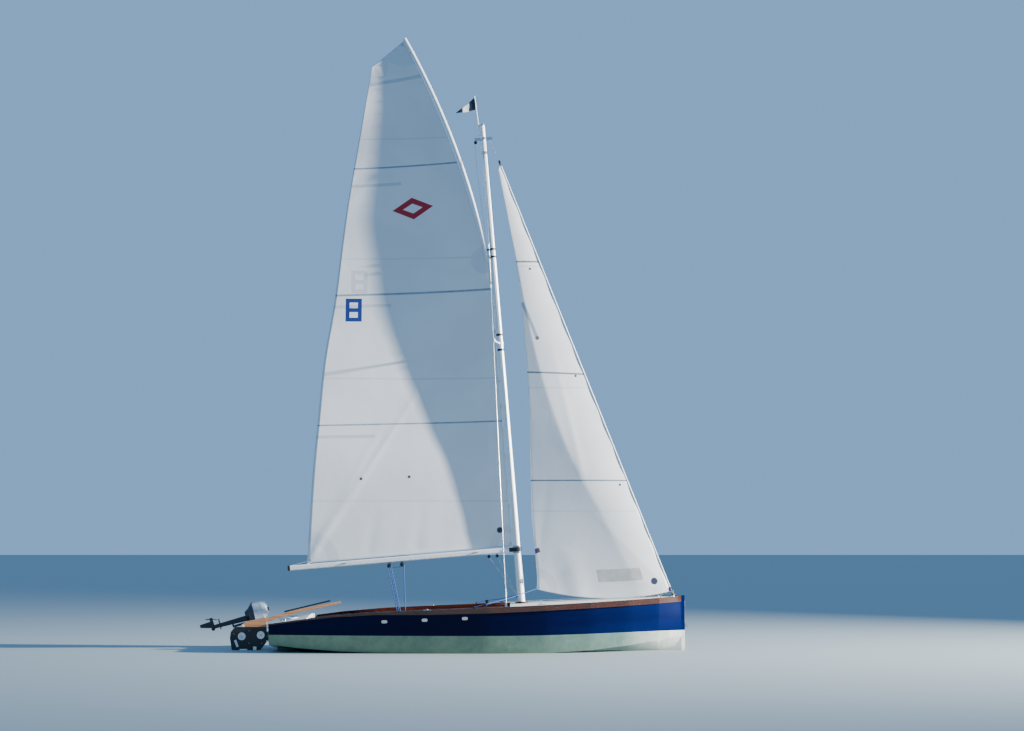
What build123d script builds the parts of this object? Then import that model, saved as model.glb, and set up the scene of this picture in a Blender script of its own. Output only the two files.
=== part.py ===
from build123d import *
import os
from math import cos, radians, sin, tan

# Sailing dinghy with a gunter rig, afloat. Millimetres, +X to the bow, +Y to port, +Z up.
# The origin is on the centreplane at the waterline, amidships.

os.makedirs("parts", exist_ok=True)

# Hull size
half_length = 3000
half_beam = 985
bow_height = 780
hull_draught = 172

# Hull lines, one row per frame, as shares of the four sizes above
# x, sheer half-breadth, sheer height, chine half-breadth, chine height, keel height
hull_lines = [
    (-1.000, 0.629, 0.512, 0.548, 0.64, 0.23),
    (-0.850, 0.733, 0.594, 0.640, 0.38, -0.09),
    (-0.683, 0.827, 0.674, 0.723, 0.17, -0.38),
    (-0.483, 0.914, 0.735, 0.797, 0.03, -0.64),
    (-0.233, 0.981, 0.777, 0.853, -0.06, -0.87),
    (0.050, 1.000, 0.822, 0.858, -0.09, -1.00),
    (0.317, 0.932, 0.867, 0.763, 0.00, -1.00),
    (0.533, 0.795, 0.908, 0.597, 0.20, -0.90),
    (0.717, 0.597, 0.945, 0.391, 0.52, -0.70),
    (0.867, 0.355, 0.976, 0.183, 0.90, -0.38),
    (0.983, 0.032, 1.000, 0.031, 1.31, 0.06),
]
frames = [
    (
        x * half_length,
        sheer_y * half_beam,
        sheer_z * bow_height,
        chine_y * half_beam,
        chine_z * hull_draught,
        keel_z * hull_draught,
    )
    for x, sheer_y, sheer_z, chine_y, chine_z, keel_z in hull_lines
]

# Planking, decks and seams
plank = 14
deck_thick = 12
seam = 0.3
transom_thick = 26
bulkhead_thick = 14
stem_wide = 56
stem_nose = 24
stem_below = 40
stem_above = 14
bow_eye_z = 350
bow_eye_reach = 26
bow_eye_radius = 20
bow_eye_bore = 12
bow_eye_thick = 10
bow_eye_plate = 5
keel_wide = 60
keel_deep = 46
keel_aft_gap = 60

# Crown of the decks, as a share of their half-breadth
foredeck_crown = 0.015
transom_crown = 0.010
locker_crown = 0.070

# Cockpit
aft_deck_long = 550
cockpit_aft = aft_deck_long - half_length
cockpit_fore = 450
side_deck_wide = 190
coaming_thick = 16
coaming_above = 10
coaming_below = 96
strake_thick = 24
strake_above = 7
# how far the strake reaches below the sheer: place as a share of half the length, depth
strake_depths = [
    (-1.000, 14),
    (-0.683, 18),
    (-0.483, 30),
    (-0.233, 60),
    (0.050, 72),
    (1.000, 77),
]
floor_top = 120
floorboard_thick = 18
floorboard_wide = 150
floorboard_gap = 10
floorboards_each_side = 3
floor_end_gap = 30
bearer_thick = 30
bearer_places = (-2150, -1500, 330)
bench_top = 352
bench_thick = 20
bench_inner = 500
bench_aft = cockpit_aft + 50
bench_fore = -150
thwart_top = 425
thwart_thick = 26
thwart_aft = -60
thwart_fore = 190
bench_bracket_thick = 22
bench_bracket_places = (-2050, -1250, -450)

# Centreboard and its case
case_aft = -880
case_fore = 260
case_gap = 42
case_wall = 20
board_thick = 24
board_below_pin = 930
board_above_pin = 40
board_ahead_of_pin = 58
board_behind_pin = 262
board_tip_round = 90
board_pin_x = 150
board_pin_z = -60
board_pin_radius = 12
board_lean = 14
slot_end_gap = 20

# Mast, raked aft about the point where it passes the foredeck
mast_deck_x = 618
mast_deck_z = 651
mast_rake = 4.73
mast_foot_z = -104
mast_head_z = 7800
mast_foot_radius = 56
mast_head_radius = 37
step_long = 260
step_wide = 150
partner_wide = 34
partner_tall = 26
partner_clear = 3
masthead_cap_tall = 26
crane_long = 95
crane_thick = 14
crane_tall = 44

# Shrouds, spreaders and forestay
chainplate_aft = 225
chainplate_thick = 5
chainplate_inset = 20
chainplate_wide = 34
chainplate_tall = 112
chainplate_above = 60
shroud_radius = 4
shroud_top_z = 7360
hound_ear = 26
spreader_z = 4500
spreader_radius = 11
turnbuckle_radius = 9
turnbuckle_long = 180
forestay_aft = 185
forestay_foot_x = half_length - forestay_aft
forestay_above = 68
forestay_foot_z = bow_height + forestay_above
forestay_top_z = 7625
drum_radius = 30
drum_tall = 50
drum_flange = 5
tack_link_radius = 7

# Boom and its collar round the mast
boom_z = 1462
boom_tall = 74
boom_wide = 60
boom_round = 18
boom_start = 118
boom_long = 3220
collar_tall = 62
collar_wall = 14
collar_clear = 5
band_tall = 22
band_wall = 13
band_gap = 0.5
boom_cap_long = 34

# Yard, an arc from its heel beside the mast to its tip
yard_heel_x = 118
yard_heel_z = 5740
yard_tip_x = -1149
yard_tip_z = 9148
yard_bow = 134
yard_radius = 28
parrel_places = (5790, 5905)
parrel_tall = 26
parrel_wall = 10

# Sails
sail_thick = 8
luff_gap = 20
luff_seat = 0.85
foot_lug_wide = 12
foot_lug_long = 36
foot_lug_aft = 20
yard_lean = 1.1
foot_gap = 14
clew_inset = 250
foot_camber = 0.03
peak_below = 30
head_aft_x = -1645
head_aft_z = 8727
head_camber = 0.02
stay_gap = 0.4

# Burgee
staff_foot_z = 7640
staff_top_x = -90
staff_top_z = 8262
staff_radius = 6
burgee_hoist = 200
burgee_fly_x = -383
burgee_fly_z = 7991
burgee_thick = 3

# Scuppers
scupper_places = (-1324, -753, -187)
scupper_below = 130
scupper_long = 84
scupper_tall = 44
scupper_thick = 5

# Steering gear
# distances behind the transom
rudder_back = 50
cheek_fore_back = 110
blade_pin_back = 467
blade_fore_back = 335
blade_aft_back = 588
rudder_axis_x = -half_length - rudder_back
cheek_fore_x = -half_length - cheek_fore_back
blade_pin_x = -half_length - blade_pin_back
blade_fore_x = -half_length - blade_fore_back
blade_aft_x = -half_length - blade_aft_back
cheek_top_z = 334
cheek_fore_low_z = 112
# the cheeks' outline: distance behind the transom, height
cheek_outline = [
    (cheek_fore_back, cheek_top_z),
    (cheek_fore_back, cheek_fore_low_z),
    (240, -50),
    (556, -50),
    (610, 0),
    (640, 170),
    (630, 260),
    (570, cheek_top_z),
]
cheek_round = 22
# the head's upper outline: distance behind the transom, height
head_outline = [
    (cheek_fore_back, 468),
    (200, 456),
    (380, 422),
    (470, 372),
]
filler_long = 60
head_wide = 62
plate_radius = 56
plate_thick = 4
plate_fore_back = 190
plate_fore_z = 217
cheek_thick = 10
cheek_gap = 32
blade_thick = 26
blade_pin_z = 200
blade_pin_radius = 9
pin_proud = 5
blade_tip_z = -760
blade_above_pin = 70
blade_round = 36
pintle_radius = 7
pintle_clear = 0.1
lug_radius = 17
lug_tall = 20
gudgeon_places = (96, 292)
tiller_long = 1100
tiller_slope = 13.4
tiller_root_z = 436
tiller_round = 8
# the tiller's sections: distance along it, rise of its bow, depth, width
tiller_sections = [
    (0, 0, 56, 42),
    (420, 22, 48, 38),
    (tiller_long, 0, 30, 30),
]
extension_start = 270
extension_long = 690
extension_radius = 11

# Outboard motor on a bracket behind the transom
motor_y = 500
tilt_pin_back = 465
tilt_pin_x = -half_length - tilt_pin_back
tilt_pin_z = 345
tilt_angle = 75
pad_back = 425
pad_x = -half_length - pad_back
pad_thick = 30
pad_tall = 190
pad_wide = 190
pad_top_z = 315
arm_thick = 8
arm_tall = 60
arm_spread = 75
arm_below = 105
bracket_plate_tall = 170
clamp_hook = 70
clamp_drop = 150
clamp_plate = 8
clamp_spread = 62
pin_radius = 8
pin_clear = 0.1
swivel_back = 28
swivel_radius = 17
steer_shaft_radius = 11
leg_back = 95
prop_drop = 508
prop_radius = 95
gear_fore = -40
gear_radius = 29
gear_aft = -192
skeg_drop = 690
leg_top = 12
leg_bottom = 470
# leg sections: height up the motor, length fore and aft, width
leg_sections = [
    (-leg_bottom, 56, 30),
    (leg_top, 84, 56),
]
leg_round = 14
plate_drop = 400
splash_back = 18
splash_long = 166
splash_wide = 100
splash_thick = 6
yoke_wide = 24
yoke_tall = 22
swivel_half = 52
swivel_long = 190
hub_radius = 24
prop_clear = 0.8
hub_long = 42
# propeller blade sections: share of its radius, pitch angle, chord
prop_sections = [
    (0.19, 52, 30),
    (0.60, 36, 58),
    (1.00, 26, 36),
]
prop_thick = 5
pan_wide = 176
pan_front = -37
pan_front_wide = 72
pan_taper = 80
pan_round = 14
# the pan's two outlines: height up the motor, back
pan_levels = [
    (leg_top + seam, -190),
    (62 - seam, -222),
]
# cowl sections: height up the motor, front, back, width, corner radius
cowl_sections = [
    (62, -15, -226, 196, 50),
    (142, -15, -312, 210, 50),
    (152, -18, -286, 204, 50),
    (280, -22, -282, 198, 50),
    (324, -34, -262, 168, 50),
    (346, -66, -222, 110, 40),
]


def hull_at(x):
    """Sheer half-breadth and height, chine half-breadth and height, keel height at x."""
    for low, high in zip(frames, frames[1:]):
        if x <= high[0] or high is frames[-1]:
            share = (x - low[0]) / (high[0] - low[0])
            return [a + (b - a) * share for a, b in zip(low[1:], high[1:])]


def frames_between(aft, fore):
    """The ends of a stretch and the frames that lie inside it."""
    return [aft] + [row[0] for row in frames if aft + 1 < row[0] < fore - 1] + [fore]


def inside_y(x, z):
    """Half-breadth of the hull's inside at height z, on the topside or on the bottom."""
    sheer_y, sheer_z, chine_y, chine_z, keel_z = hull_at(x)
    corner_y, corner_z = chine_y - 1.3 * plank, chine_z + plank
    if z >= corner_z:
        share = (z - corner_z) / (sheer_z - corner_z)
        return corner_y + (sheer_y - plank - corner_y) * share
    share = (z - keel_z - plank) / (corner_z - keel_z - plank)
    return corner_y * share


def inside_outline(x, top_z, gap):
    """Closed outline that fills the hull's inside at x up to top_z, less a gap."""
    sheer_y, sheer_z, chine_y, chine_z, keel_z = hull_at(x)
    corner_y, corner_z = chine_y - 1.3 * plank - gap, chine_z + plank + gap
    top_y = inside_y(x, top_z) - gap
    return [
        (-top_y, top_z),
        (top_y, top_z),
        (corner_y, corner_z),
        (0, keel_z + plank + gap),
        (-corner_y, corner_z),
    ]


def topside_point(x, below):
    """A point on the outside of the port topside, a height below the sheer."""
    sheer_y, sheer_z, chine_y, chine_z, keel_z = hull_at(x)
    return Vector(x, sheer_y - below * (sheer_y - chine_y) / (sheer_z - chine_z), sheer_z - below)


def topside_plane(x, below):
    """Plane on the port topside there, its x forward and its z outward."""
    here = topside_point(x, below)
    ahead = topside_point(x + plank, below) - here
    upward = topside_point(x, below - plank) - here
    return Plane(origin=here, x_dir=ahead, z_dir=upward.cross(ahead))


def strake_deep(x):
    """How far the rubbing strake reaches below the sheer at x."""
    place = x / half_length
    for (aft, aft_deep), (fore, fore_deep) in zip(strake_depths, strake_depths[1:]):
        if place <= fore:
            return aft_deep + (fore_deep - aft_deep) * (place - aft) / (fore - aft)


def aft_crown(x):
    """Height of the aft deck's crown at x, growing from the transom to the cockpit."""
    share = (x + half_length) / aft_deck_long
    return (transom_crown + (locker_crown - transom_crown) * share) * inside_y(x, hull_at(x)[1])


def fore_crown(x):
    """Height of the foredeck's crown at x."""
    return foredeck_crown * inside_y(x, hull_at(x)[1])


def mast_x(z):
    """Where the mast's axis is at height z."""
    return mast_deck_x - (z - mast_deck_z) * tan(radians(mast_rake))


def mast_radius(z):
    """Radius of the mast at height z."""
    share = (z - mast_foot_z) / (mast_head_z - mast_foot_z)
    return mast_foot_radius + (mast_head_radius - mast_foot_radius) * share


def yard_point(share):
    """A point on the yard's centreline, counted from its heel, on a shallow arc."""
    run, rise = yard_tip_x - yard_heel_x, yard_tip_z - yard_heel_z
    long = (run**2 + rise**2) ** 0.5
    bulge = 4 * yard_bow * share * (1 - share)
    return (
        yard_heel_x + run * share + bulge * rise / long,
        yard_heel_z + rise * share - bulge * run / long,
    )


# Places that follow from the sizes
chainplate_x = mast_deck_x - chainplate_aft
chainplate_y = hull_at(chainplate_x)[0] - plank - chainplate_inset
case_top = thwart_top - thwart_thick - seam

# Directions of the raked mast: along it, and square to it towards the stern
mast_up = (-sin(radians(mast_rake)), 0, cos(radians(mast_rake)))
mast_aft = (-cos(radians(mast_rake)), 0, -sin(radians(mast_rake)))


def mast_plane(z):
    """Plane square to the mast at height z, its x towards the stern."""
    return Plane(origin=(mast_x(z), 0, z), x_dir=mast_aft, z_dir=mast_up)


def boom_point(distance, up=0):
    """A point behind the mast's axis, along the boom, and above the boom's centreline."""
    start = Vector(mast_x(boom_z), 0, boom_z)
    return start + Vector(*mast_aft) * distance + Vector(*mast_up) * up


# Topside planking: one panel a side from the sheer to the chine
with BuildPart() as topside_port:
    for x in frames_between(frames[0][0], frames[-1][0]):
        sheer_y, sheer_z, chine_y, chine_z, keel_z = hull_at(x)
        with BuildSketch(Plane.YZ.offset(x)):
            with BuildLine():
                Polyline(
                    (sheer_y, sheer_z),
                    (chine_y, chine_z + seam),
                    (chine_y - 1.3 * plank, chine_z + plank + seam),
                    (sheer_y - plank, sheer_z),
                    close=True,
                )
            make_face()
    loft(ruled=True)
topside_port.part.label = "topside_port"
export_step(topside_port.part, "parts/topside_port.step")

with BuildPart() as topside_starboard:
    add(mirror(topside_port.part, about=Plane.XZ, mode=Mode.PRIVATE))
topside_starboard.part.label = "topside_starboard"
export_step(topside_starboard.part, "parts/topside_starboard.step")

# Bottom planking: a shallow V from chine to chine with the centreboard's slot
with BuildPart() as bottom_planking:
    for x in frames_between(frames[0][0], frames[-1][0]):
        sheer_y, sheer_z, chine_y, chine_z, keel_z = hull_at(x)
        with BuildSketch(Plane.YZ.offset(x)):
            with BuildLine():
                Polyline(
                    (-chine_y, chine_z),
                    (0, keel_z),
                    (chine_y, chine_z),
                    (chine_y - 1.3 * plank, chine_z + plank),
                    (0, keel_z + plank),
                    (1.3 * plank - chine_y, chine_z + plank),
                    close=True,
                )
            make_face()
    loft(ruled=True)
    with BuildSketch(Plane.XY.offset(-2 * hull_draught)):
        with Locations(((case_aft + case_fore) / 2, 0)):
            SlotOverall(case_fore - case_aft - 2 * slot_end_gap, case_gap)
    extrude(amount=3 * hull_draught, mode=Mode.SUBTRACT)
bottom_planking.part.label = "bottom_planking"
export_step(bottom_planking.part, "parts/bottom_planking.step")

# Transom, inside the planking and below the aft deck
with BuildPart() as transom:
    for x in (-half_length, -half_length + transom_thick):
        with BuildSketch(Plane.YZ.offset(x)):
            with BuildLine():
                Polyline(*inside_outline(x, hull_at(x)[1] - deck_thick - seam, seam), close=True)
            make_face()
    loft(ruled=True)
transom.part.label = "transom"
export_step(transom.part, "parts/transom.step")

# Stem post: plumb, tapering forward to a narrow nose, with a rounded forefoot
stem_back = frames[-1][0] + seam
with BuildPart() as stem_post:
    with BuildSketch(Plane.XY.offset(-stem_below)):
        with BuildLine():
            Polyline(
                (stem_back, -stem_wide / 2),
                (stem_back, stem_wide / 2),
                (half_length, stem_nose / 2),
                (half_length, -stem_nose / 2),
                close=True,
            )
        make_face()
    extrude(amount=stem_below + bow_height + stem_above)
    chamfer(stem_post.edges().filter_by(Axis.Y).group_by(Axis.Z)[0].sort_by(Axis.X)[-1], stem_nose)
stem_post.part.label = "stem_post"
export_step(stem_post.part, "parts/stem_post.step")

# The hull's outside as one closed form, which the keel is fitted to
with BuildPart() as hull_form:
    for x in frames_between(-half_length - 1, frames[-1][0] + 1):
        sheer_y, sheer_z, chine_y, chine_z, keel_z = hull_at(x)
        with BuildSketch(Plane.YZ.offset(x)):
            with BuildLine():
                Polyline(
                    (-2 * half_beam, 2 * bow_height),
                    (2 * half_beam, 2 * bow_height),
                    (sheer_y, sheer_z),
                    (chine_y, chine_z),
                    (0, keel_z),
                    (-chine_y, chine_z),
                    (-sheer_y, sheer_z),
                    close=True,
                )
            make_face()
    loft(ruled=True)

# Bow eye: a drilled lug on the stem's face
with BuildPart() as bow_eye:
    with BuildSketch(Plane.XZ.offset(-bow_eye_thick / 2)):
        with Locations((half_length + seam + bow_eye_reach / 2, bow_eye_z)):
            Rectangle(bow_eye_reach, 2 * bow_eye_radius)
        with Locations((half_length + seam + bow_eye_reach, bow_eye_z)):
            Circle(bow_eye_radius)
            Circle(bow_eye_bore, mode=Mode.SUBTRACT)
    extrude(amount=bow_eye_thick)
    with Locations((half_length + seam + bow_eye_plate / 2, 0, bow_eye_z)):
        Box(bow_eye_plate, stem_nose, 4 * bow_eye_radius)
bow_eye.part.label = "bow_eye"
export_step(bow_eye.part, "parts/bow_eye.step")

# Keel: a bar under the bottom from the transom to the stem, open at the centreboard's slot
with BuildPart() as keel:
    for x in frames_between(-half_length + keel_aft_gap, frames[-1][0]):
        low, high = hull_at(x)[4] - keel_deep, hull_at(x)[1]
        with BuildSketch(Plane.YZ.offset(x)):
            with Locations((0, (low + high) / 2)):
                Rectangle(keel_wide, high - low)
    loft(ruled=True)
    add(hull_form.part, mode=Mode.SUBTRACT)
    with BuildSketch(Plane.XY.offset(-2 * hull_draught)):
        with Locations(((case_aft + case_fore) / 2, 0)):
            SlotOverall(case_fore - case_aft - 2 * slot_end_gap, case_gap)
    extrude(amount=3 * hull_draught, mode=Mode.SUBTRACT)
keel.part.label = "keel"
export_step(keel.part, "parts/keel.step")

# Rubbing strakes of varnished wood, along the outside of the sheer
with BuildPart() as rubbing_strakes:
    for x in frames_between(frames[0][0], frames[-1][0]):
        sheer_y, sheer_z, chine_y, chine_z, keel_z = hull_at(x)
        deep = strake_deep(x)
        tuck = deep * (sheer_y - chine_y) / (sheer_z - chine_z)
        with BuildSketch(Plane.YZ.offset(x)):
            with BuildLine():
                Polyline(
                    (sheer_y + seam, sheer_z + strake_above),
                    (sheer_y + strake_thick, sheer_z + strake_above),
                    (sheer_y + strake_thick - tuck, sheer_z - deep),
                    (sheer_y + seam - tuck, sheer_z - deep),
                    (sheer_y + seam, sheer_z),
                    close=True,
                )
            make_face()
    loft(ruled=True)
    mirror(about=Plane.XZ)
rubbing_strakes.part.label = "rubbing_strakes"
export_step(rubbing_strakes.part, "parts/rubbing_strakes.step")

# Foredeck: cambered, from the cockpit to the stem, with the mast's hole
with BuildPart() as foredeck:
    for x in frames_between(cockpit_fore, frames[-1][0]):
        z = hull_at(x)[1]
        half, low_half = inside_y(x, z) - seam, inside_y(x, z - deck_thick) - seam
        crown = fore_crown(x)
        with BuildSketch(Plane.YZ.offset(x)):
            with BuildLine():
                ThreePointArc((-half, z), (0, z + crown), (half, z))
                Line((half, z), (low_half, z - deck_thick))
                ThreePointArc(
                    (low_half, z - deck_thick), (0, z + crown - deck_thick), (-low_half, z - deck_thick)
                )
                Line((-low_half, z - deck_thick), (-half, z))
            make_face()
    loft(ruled=True)
    with BuildSketch(mast_plane(mast_deck_z - 200)):
        Circle(mast_radius(mast_deck_z) + partner_clear)
    extrude(amount=400, mode=Mode.SUBTRACT)
foredeck.part.label = "foredeck"
export_step(foredeck.part, "parts/foredeck.step")

# Aft deck, its crown growing towards the cockpit
with BuildPart() as aft_deck:
    for x in frames_between(-half_length, cockpit_aft):
        z = hull_at(x)[1]
        low = z - deck_thick
        half, low_half = inside_y(x, z) - seam, inside_y(x, low) - seam
        crown = aft_crown(x)
        with BuildSketch(Plane.YZ.offset(x)):
            with BuildLine():
                ThreePointArc((-half, z), (0, z + crown), (half, z))
                Line((half, z), (low_half, low))
                ThreePointArc((low_half, low), (0, low + crown), (-low_half, low))
                Line((-low_half, low), (-half, z))
            make_face()
    loft(ruled=True)
aft_deck.part.label = "aft_deck"
export_step(aft_deck.part, "parts/aft_deck.step")

# Side decks between the planking and the coamings
with BuildPart() as side_decks:
    for x in frames_between(cockpit_aft + seam, cockpit_fore - seam):
        sheer_y, z = hull_at(x)[:2]
        low = z - deck_thick
        inner = sheer_y - side_deck_wide
        outer, low_outer = inside_y(x, z) - seam, inside_y(x, low) - seam
        with BuildSketch(Plane.YZ.offset(x)):
            with BuildLine():
                Polyline((inner, z), (outer, z), (low_outer, low), (inner, low), close=True)
            make_face()
    loft(ruled=True)
    with Locations((chainplate_x, chainplate_y, 0)):
        Box(chainplate_wide + 2 * seam, chainplate_thick + 2 * seam, 3 * bow_height, mode=Mode.SUBTRACT)
    mirror(about=Plane.XZ)
side_decks.part.label = "side_decks"
export_step(side_decks.part, "parts/side_decks.step")

# Coamings: upright boards along the inner edges of the side decks
with BuildPart() as coamings:
    for x in frames_between(cockpit_aft + bulkhead_thick, cockpit_fore - seam):
        sheer_y, z = hull_at(x)[:2]
        outer = sheer_y - side_deck_wide - seam
        inner = outer - coaming_thick
        low, high = z - coaming_below, z + coaming_above
        with BuildSketch(Plane.YZ.offset(x)):
            with BuildLine():
                Polyline((inner, low), (outer, low), (outer, high), (inner, high), close=True)
            make_face()
    loft(ruled=True)
    mirror(about=Plane.XZ)
coamings.part.label = "coamings"
export_step(coamings.part, "parts/coamings.step")

# Bulkheads under the deck ends: aft at the locker, forward just ahead of the cockpit
bulkheads = [
    ("aft_bulkhead", cockpit_aft - bulkhead_thick, cockpit_aft, aft_crown),
    ("forward_bulkhead", cockpit_fore, cockpit_fore + bulkhead_thick, fore_crown),
]
for bulkhead_name, aft_face, fore_face, crown_at in bulkheads:
    with BuildPart() as bulkhead:
        for x in (aft_face, fore_face):
            top_z = hull_at(x)[1] - deck_thick - seam
            corners = inside_outline(x, top_z, seam)
            with BuildSketch(Plane.YZ.offset(x)):
                with BuildLine():
                    ThreePointArc(corners[0], (0, top_z + crown_at(x)), corners[1])
                    Polyline(*corners[1:], corners[0])
                make_face()
        loft(ruled=True)
    bulkhead.part.label = bulkhead_name
    export_step(bulkhead.part, f"parts/{bulkhead_name}.step")

# Floor bearers: V-shaped timbers that carry the floorboards
bearer_top = floor_top - floorboard_thick - seam
with BuildPart() as floor_bearers:
    for place in bearer_places:
        for x in (place, place + bearer_thick):
            with BuildSketch(Plane.YZ.offset(x)):
                with BuildLine():
                    Polyline(*inside_outline(x, bearer_top, seam), close=True)
                make_face()
        loft(ruled=True)
floor_bearers.part.label = "floor_bearers"
export_step(floor_bearers.part, "parts/floor_bearers.step")

# Floorboards either side of the centreboard case
board_start = case_gap / 2 + case_wall + floorboard_gap
board_pitch = floorboard_wide + floorboard_gap
floor_long = cockpit_fore - cockpit_aft - 2 * floor_end_gap
with BuildPart() as floorboards:
    for row in range(floorboards_each_side):
        for side in (-1, 1):
            y = side * (board_start + floorboard_wide / 2 + row * board_pitch)
            with Locations(((cockpit_aft + cockpit_fore) / 2, y, floor_top - floorboard_thick / 2)):
                Box(floor_long, floorboard_wide, floorboard_thick)
floorboards.part.label = "floorboards"
export_step(floorboards.part, "parts/floorboards.step")

# Side benches, their outer edges against the topsides, on upright brackets
with BuildPart() as side_benches:
    for x in frames_between(bench_aft, bench_fore):
        low = bench_top - bench_thick
        outer = inside_y(x, low) - seam
        with BuildSketch(Plane.YZ.offset(x)):
            with BuildLine():
                Polyline(
                    (bench_inner, low),
                    (outer, low),
                    (inside_y(x, bench_top) - seam, bench_top),
                    (bench_inner, bench_top),
                    close=True,
                )
            make_face()
    loft(ruled=True)
    mirror(about=Plane.XZ)
side_benches.part.label = "side_benches"
export_step(side_benches.part, "parts/side_benches.step")

bracket_foot = board_start + floorboards_each_side * board_pitch
with BuildPart() as bench_brackets:
    for place in bench_bracket_places:
        for x in (place, place + bench_bracket_thick):
            sheer_y, sheer_z, chine_y, chine_z, keel_z = hull_at(x)
            corner_y = chine_y - 1.3 * plank - seam
            corner_z = chine_z + plank + seam
            top = bench_top - bench_thick - seam
            low_z = keel_z + plank + seam
            foot_z = low_z + (corner_z - low_z) * bracket_foot / corner_y
            with BuildSketch(Plane.YZ.offset(x)):
                with BuildLine():
                    Polyline(
                        (bracket_foot, top),
                        (inside_y(x, top) - seam, top),
                        (corner_y, corner_z),
                        (bracket_foot, foot_z),
                        close=True,
                    )
                make_face()
        loft(ruled=True)
    mirror(about=Plane.XZ)
bench_brackets.part.label = "bench_brackets"
export_step(bench_brackets.part, "parts/bench_brackets.step")

# Thwart across the boat on top of the centreboard case
with BuildPart() as thwart:
    low = thwart_top - thwart_thick
    for x in frames_between(thwart_aft, thwart_fore):
        low_y, high_y = inside_y(x, low) - seam, inside_y(x, thwart_top) - seam
        with BuildSketch(Plane.YZ.offset(x)):
            with BuildLine():
                Polyline((-low_y, low), (low_y, low), (high_y, thwart_top), (-high_y, thwart_top), close=True)
            make_face()
    loft(ruled=True)
thwart.part.label = "thwart"
export_step(thwart.part, "parts/thwart.step")

# Centreboard case: two walls and rounded ends on the bottom planking, with the board's pin across
with BuildPart() as centreboard_case:
    half = case_gap / 2 + case_wall
    for x in frames_between(case_aft, case_fore):
        sheer_y, sheer_z, chine_y, chine_z, keel_z = hull_at(x)
        low_z = keel_z + plank + seam
        rise = (chine_z - keel_z) * half / (chine_y - 1.3 * plank)
        with BuildSketch(Plane.YZ.offset(x)):
            with BuildLine():
                Polyline(
                    (-half, case_top),
                    (half, case_top),
                    (half, low_z + rise),
                    (0, low_z),
                    (-half, low_z + rise),
                    close=True,
                )
            make_face()
    loft(ruled=True)
    with BuildSketch(Plane.XY.offset(-2 * hull_draught)):
        with Locations(((case_aft + case_fore) / 2, 0)):
            SlotOverall(case_fore - case_aft - 2 * slot_end_gap, case_gap)
    extrude(amount=2 * hull_draught + case_top + 1, mode=Mode.SUBTRACT)
    with BuildSketch(Plane.XZ.offset(-half)):
        with Locations((board_pin_x, board_pin_z)):
            Circle(board_pin_radius)
    extrude(amount=2 * half)
centreboard_case.part.label = "centreboard_case"
export_step(centreboard_case.part, "parts/centreboard_case.step")

# Centreboard, lowered, on its pin; it leans aft and swings up into the case
lean = radians(board_lean)
board_plane = Plane(
    origin=(board_pin_x, board_thick / 2, board_pin_z),
    x_dir=(cos(lean), 0, -sin(lean)),
    z_dir=(0, -1, 0),
)
with BuildPart() as centreboard:
    with BuildSketch(board_plane):
        with BuildLine():
            Polyline(
                (board_ahead_of_pin, board_above_pin),
                (board_ahead_of_pin, -board_below_pin),
                (-board_behind_pin, -board_below_pin),
                (-board_behind_pin, board_above_pin),
                close=True,
            )
        make_face()
        Circle(board_pin_radius + pin_clear, mode=Mode.SUBTRACT)
    extrude(amount=board_thick)
    fillet(centreboard.edges().filter_by(Axis.Y).group_by(Axis.Z)[0], board_tip_round)
centreboard.part.label = "centreboard"
export_step(centreboard.part, "parts/centreboard.step")

# Mast step: a block on the bottom, its top square to the mast's foot
with BuildPart() as mast_step:
    step_x = mast_x(mast_foot_z)
    for x in frames_between(step_x - step_long / 2, step_x + step_long / 2):
        sheer_y, sheer_z, chine_y, chine_z, keel_z = hull_at(x)
        low_z = keel_z + plank + seam
        rise = (chine_z - keel_z) * step_wide / 2 / (chine_y - 1.3 * plank)
        with BuildSketch(Plane.YZ.offset(x)):
            with BuildLine():
                Polyline(
                    (-step_wide / 2, step_wide),
                    (step_wide / 2, step_wide),
                    (step_wide / 2, low_z + rise),
                    (0, low_z),
                    (-step_wide / 2, low_z + rise),
                    close=True,
                )
            make_face()
    loft(ruled=True)
    split(bisect_by=mast_plane(mast_foot_z).offset(-seam), keep=Keep.BOTTOM)
mast_step.part.label = "mast_step"
export_step(mast_step.part, "parts/mast_step.step")

# Mast: a tapering round tube from the step through the foredeck to the masthead
mast_long = (mast_head_z - mast_foot_z) / cos(radians(mast_rake))
with BuildPart(mast_plane(mast_foot_z)) as mast:
    Cone(mast_foot_radius, mast_head_radius, mast_long, align=(Align.CENTER, Align.CENTER, Align.MIN))
mast.part.label = "mast"
export_step(mast.part, "parts/mast.step")

# Mast partner: a wooden ring on the foredeck round the mast, lying along the deck's slope
deck_slope = (hull_at(mast_deck_x + 100)[1] - hull_at(mast_deck_x)[1]) / 100
deck_crown_z = hull_at(mast_deck_x)[1] + fore_crown(mast_deck_x)
partner_plane = Plane(
    origin=(mast_x(deck_crown_z), 0, deck_crown_z + 2 * seam),
    x_dir=(1, 0, deck_slope),
    z_dir=(-deck_slope, 0, 1),
)
partner_bore = mast_radius(mast_deck_z) + partner_clear
with BuildPart() as mast_partner:
    with BuildSketch(partner_plane):
        Circle(partner_bore + partner_wide)
    extrude(amount=partner_tall)
    with BuildSketch(mast_plane(mast_deck_z - 200)):
        Circle(partner_bore)
    extrude(amount=400, mode=Mode.SUBTRACT)
mast_partner.part.label = "mast_partner"
export_step(mast_partner.part, "parts/mast_partner.step")

# Bands fixed round the mast, below and above the boom's collar
band_low_z = boom_z - collar_tall / 2 - band_gap - band_tall
band_high_z = boom_z + collar_tall / 2 + band_gap
with BuildPart() as mast_bands:
    for z in (band_low_z, band_high_z):
        with BuildSketch(mast_plane(z)):
            Circle(mast_radius(z) + band_wall)
            Circle(mast_radius(z) + seam, mode=Mode.SUBTRACT)
        extrude(amount=band_tall)
mast_bands.part.label = "mast_bands"
export_step(mast_bands.part, "parts/mast_bands.step")

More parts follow.
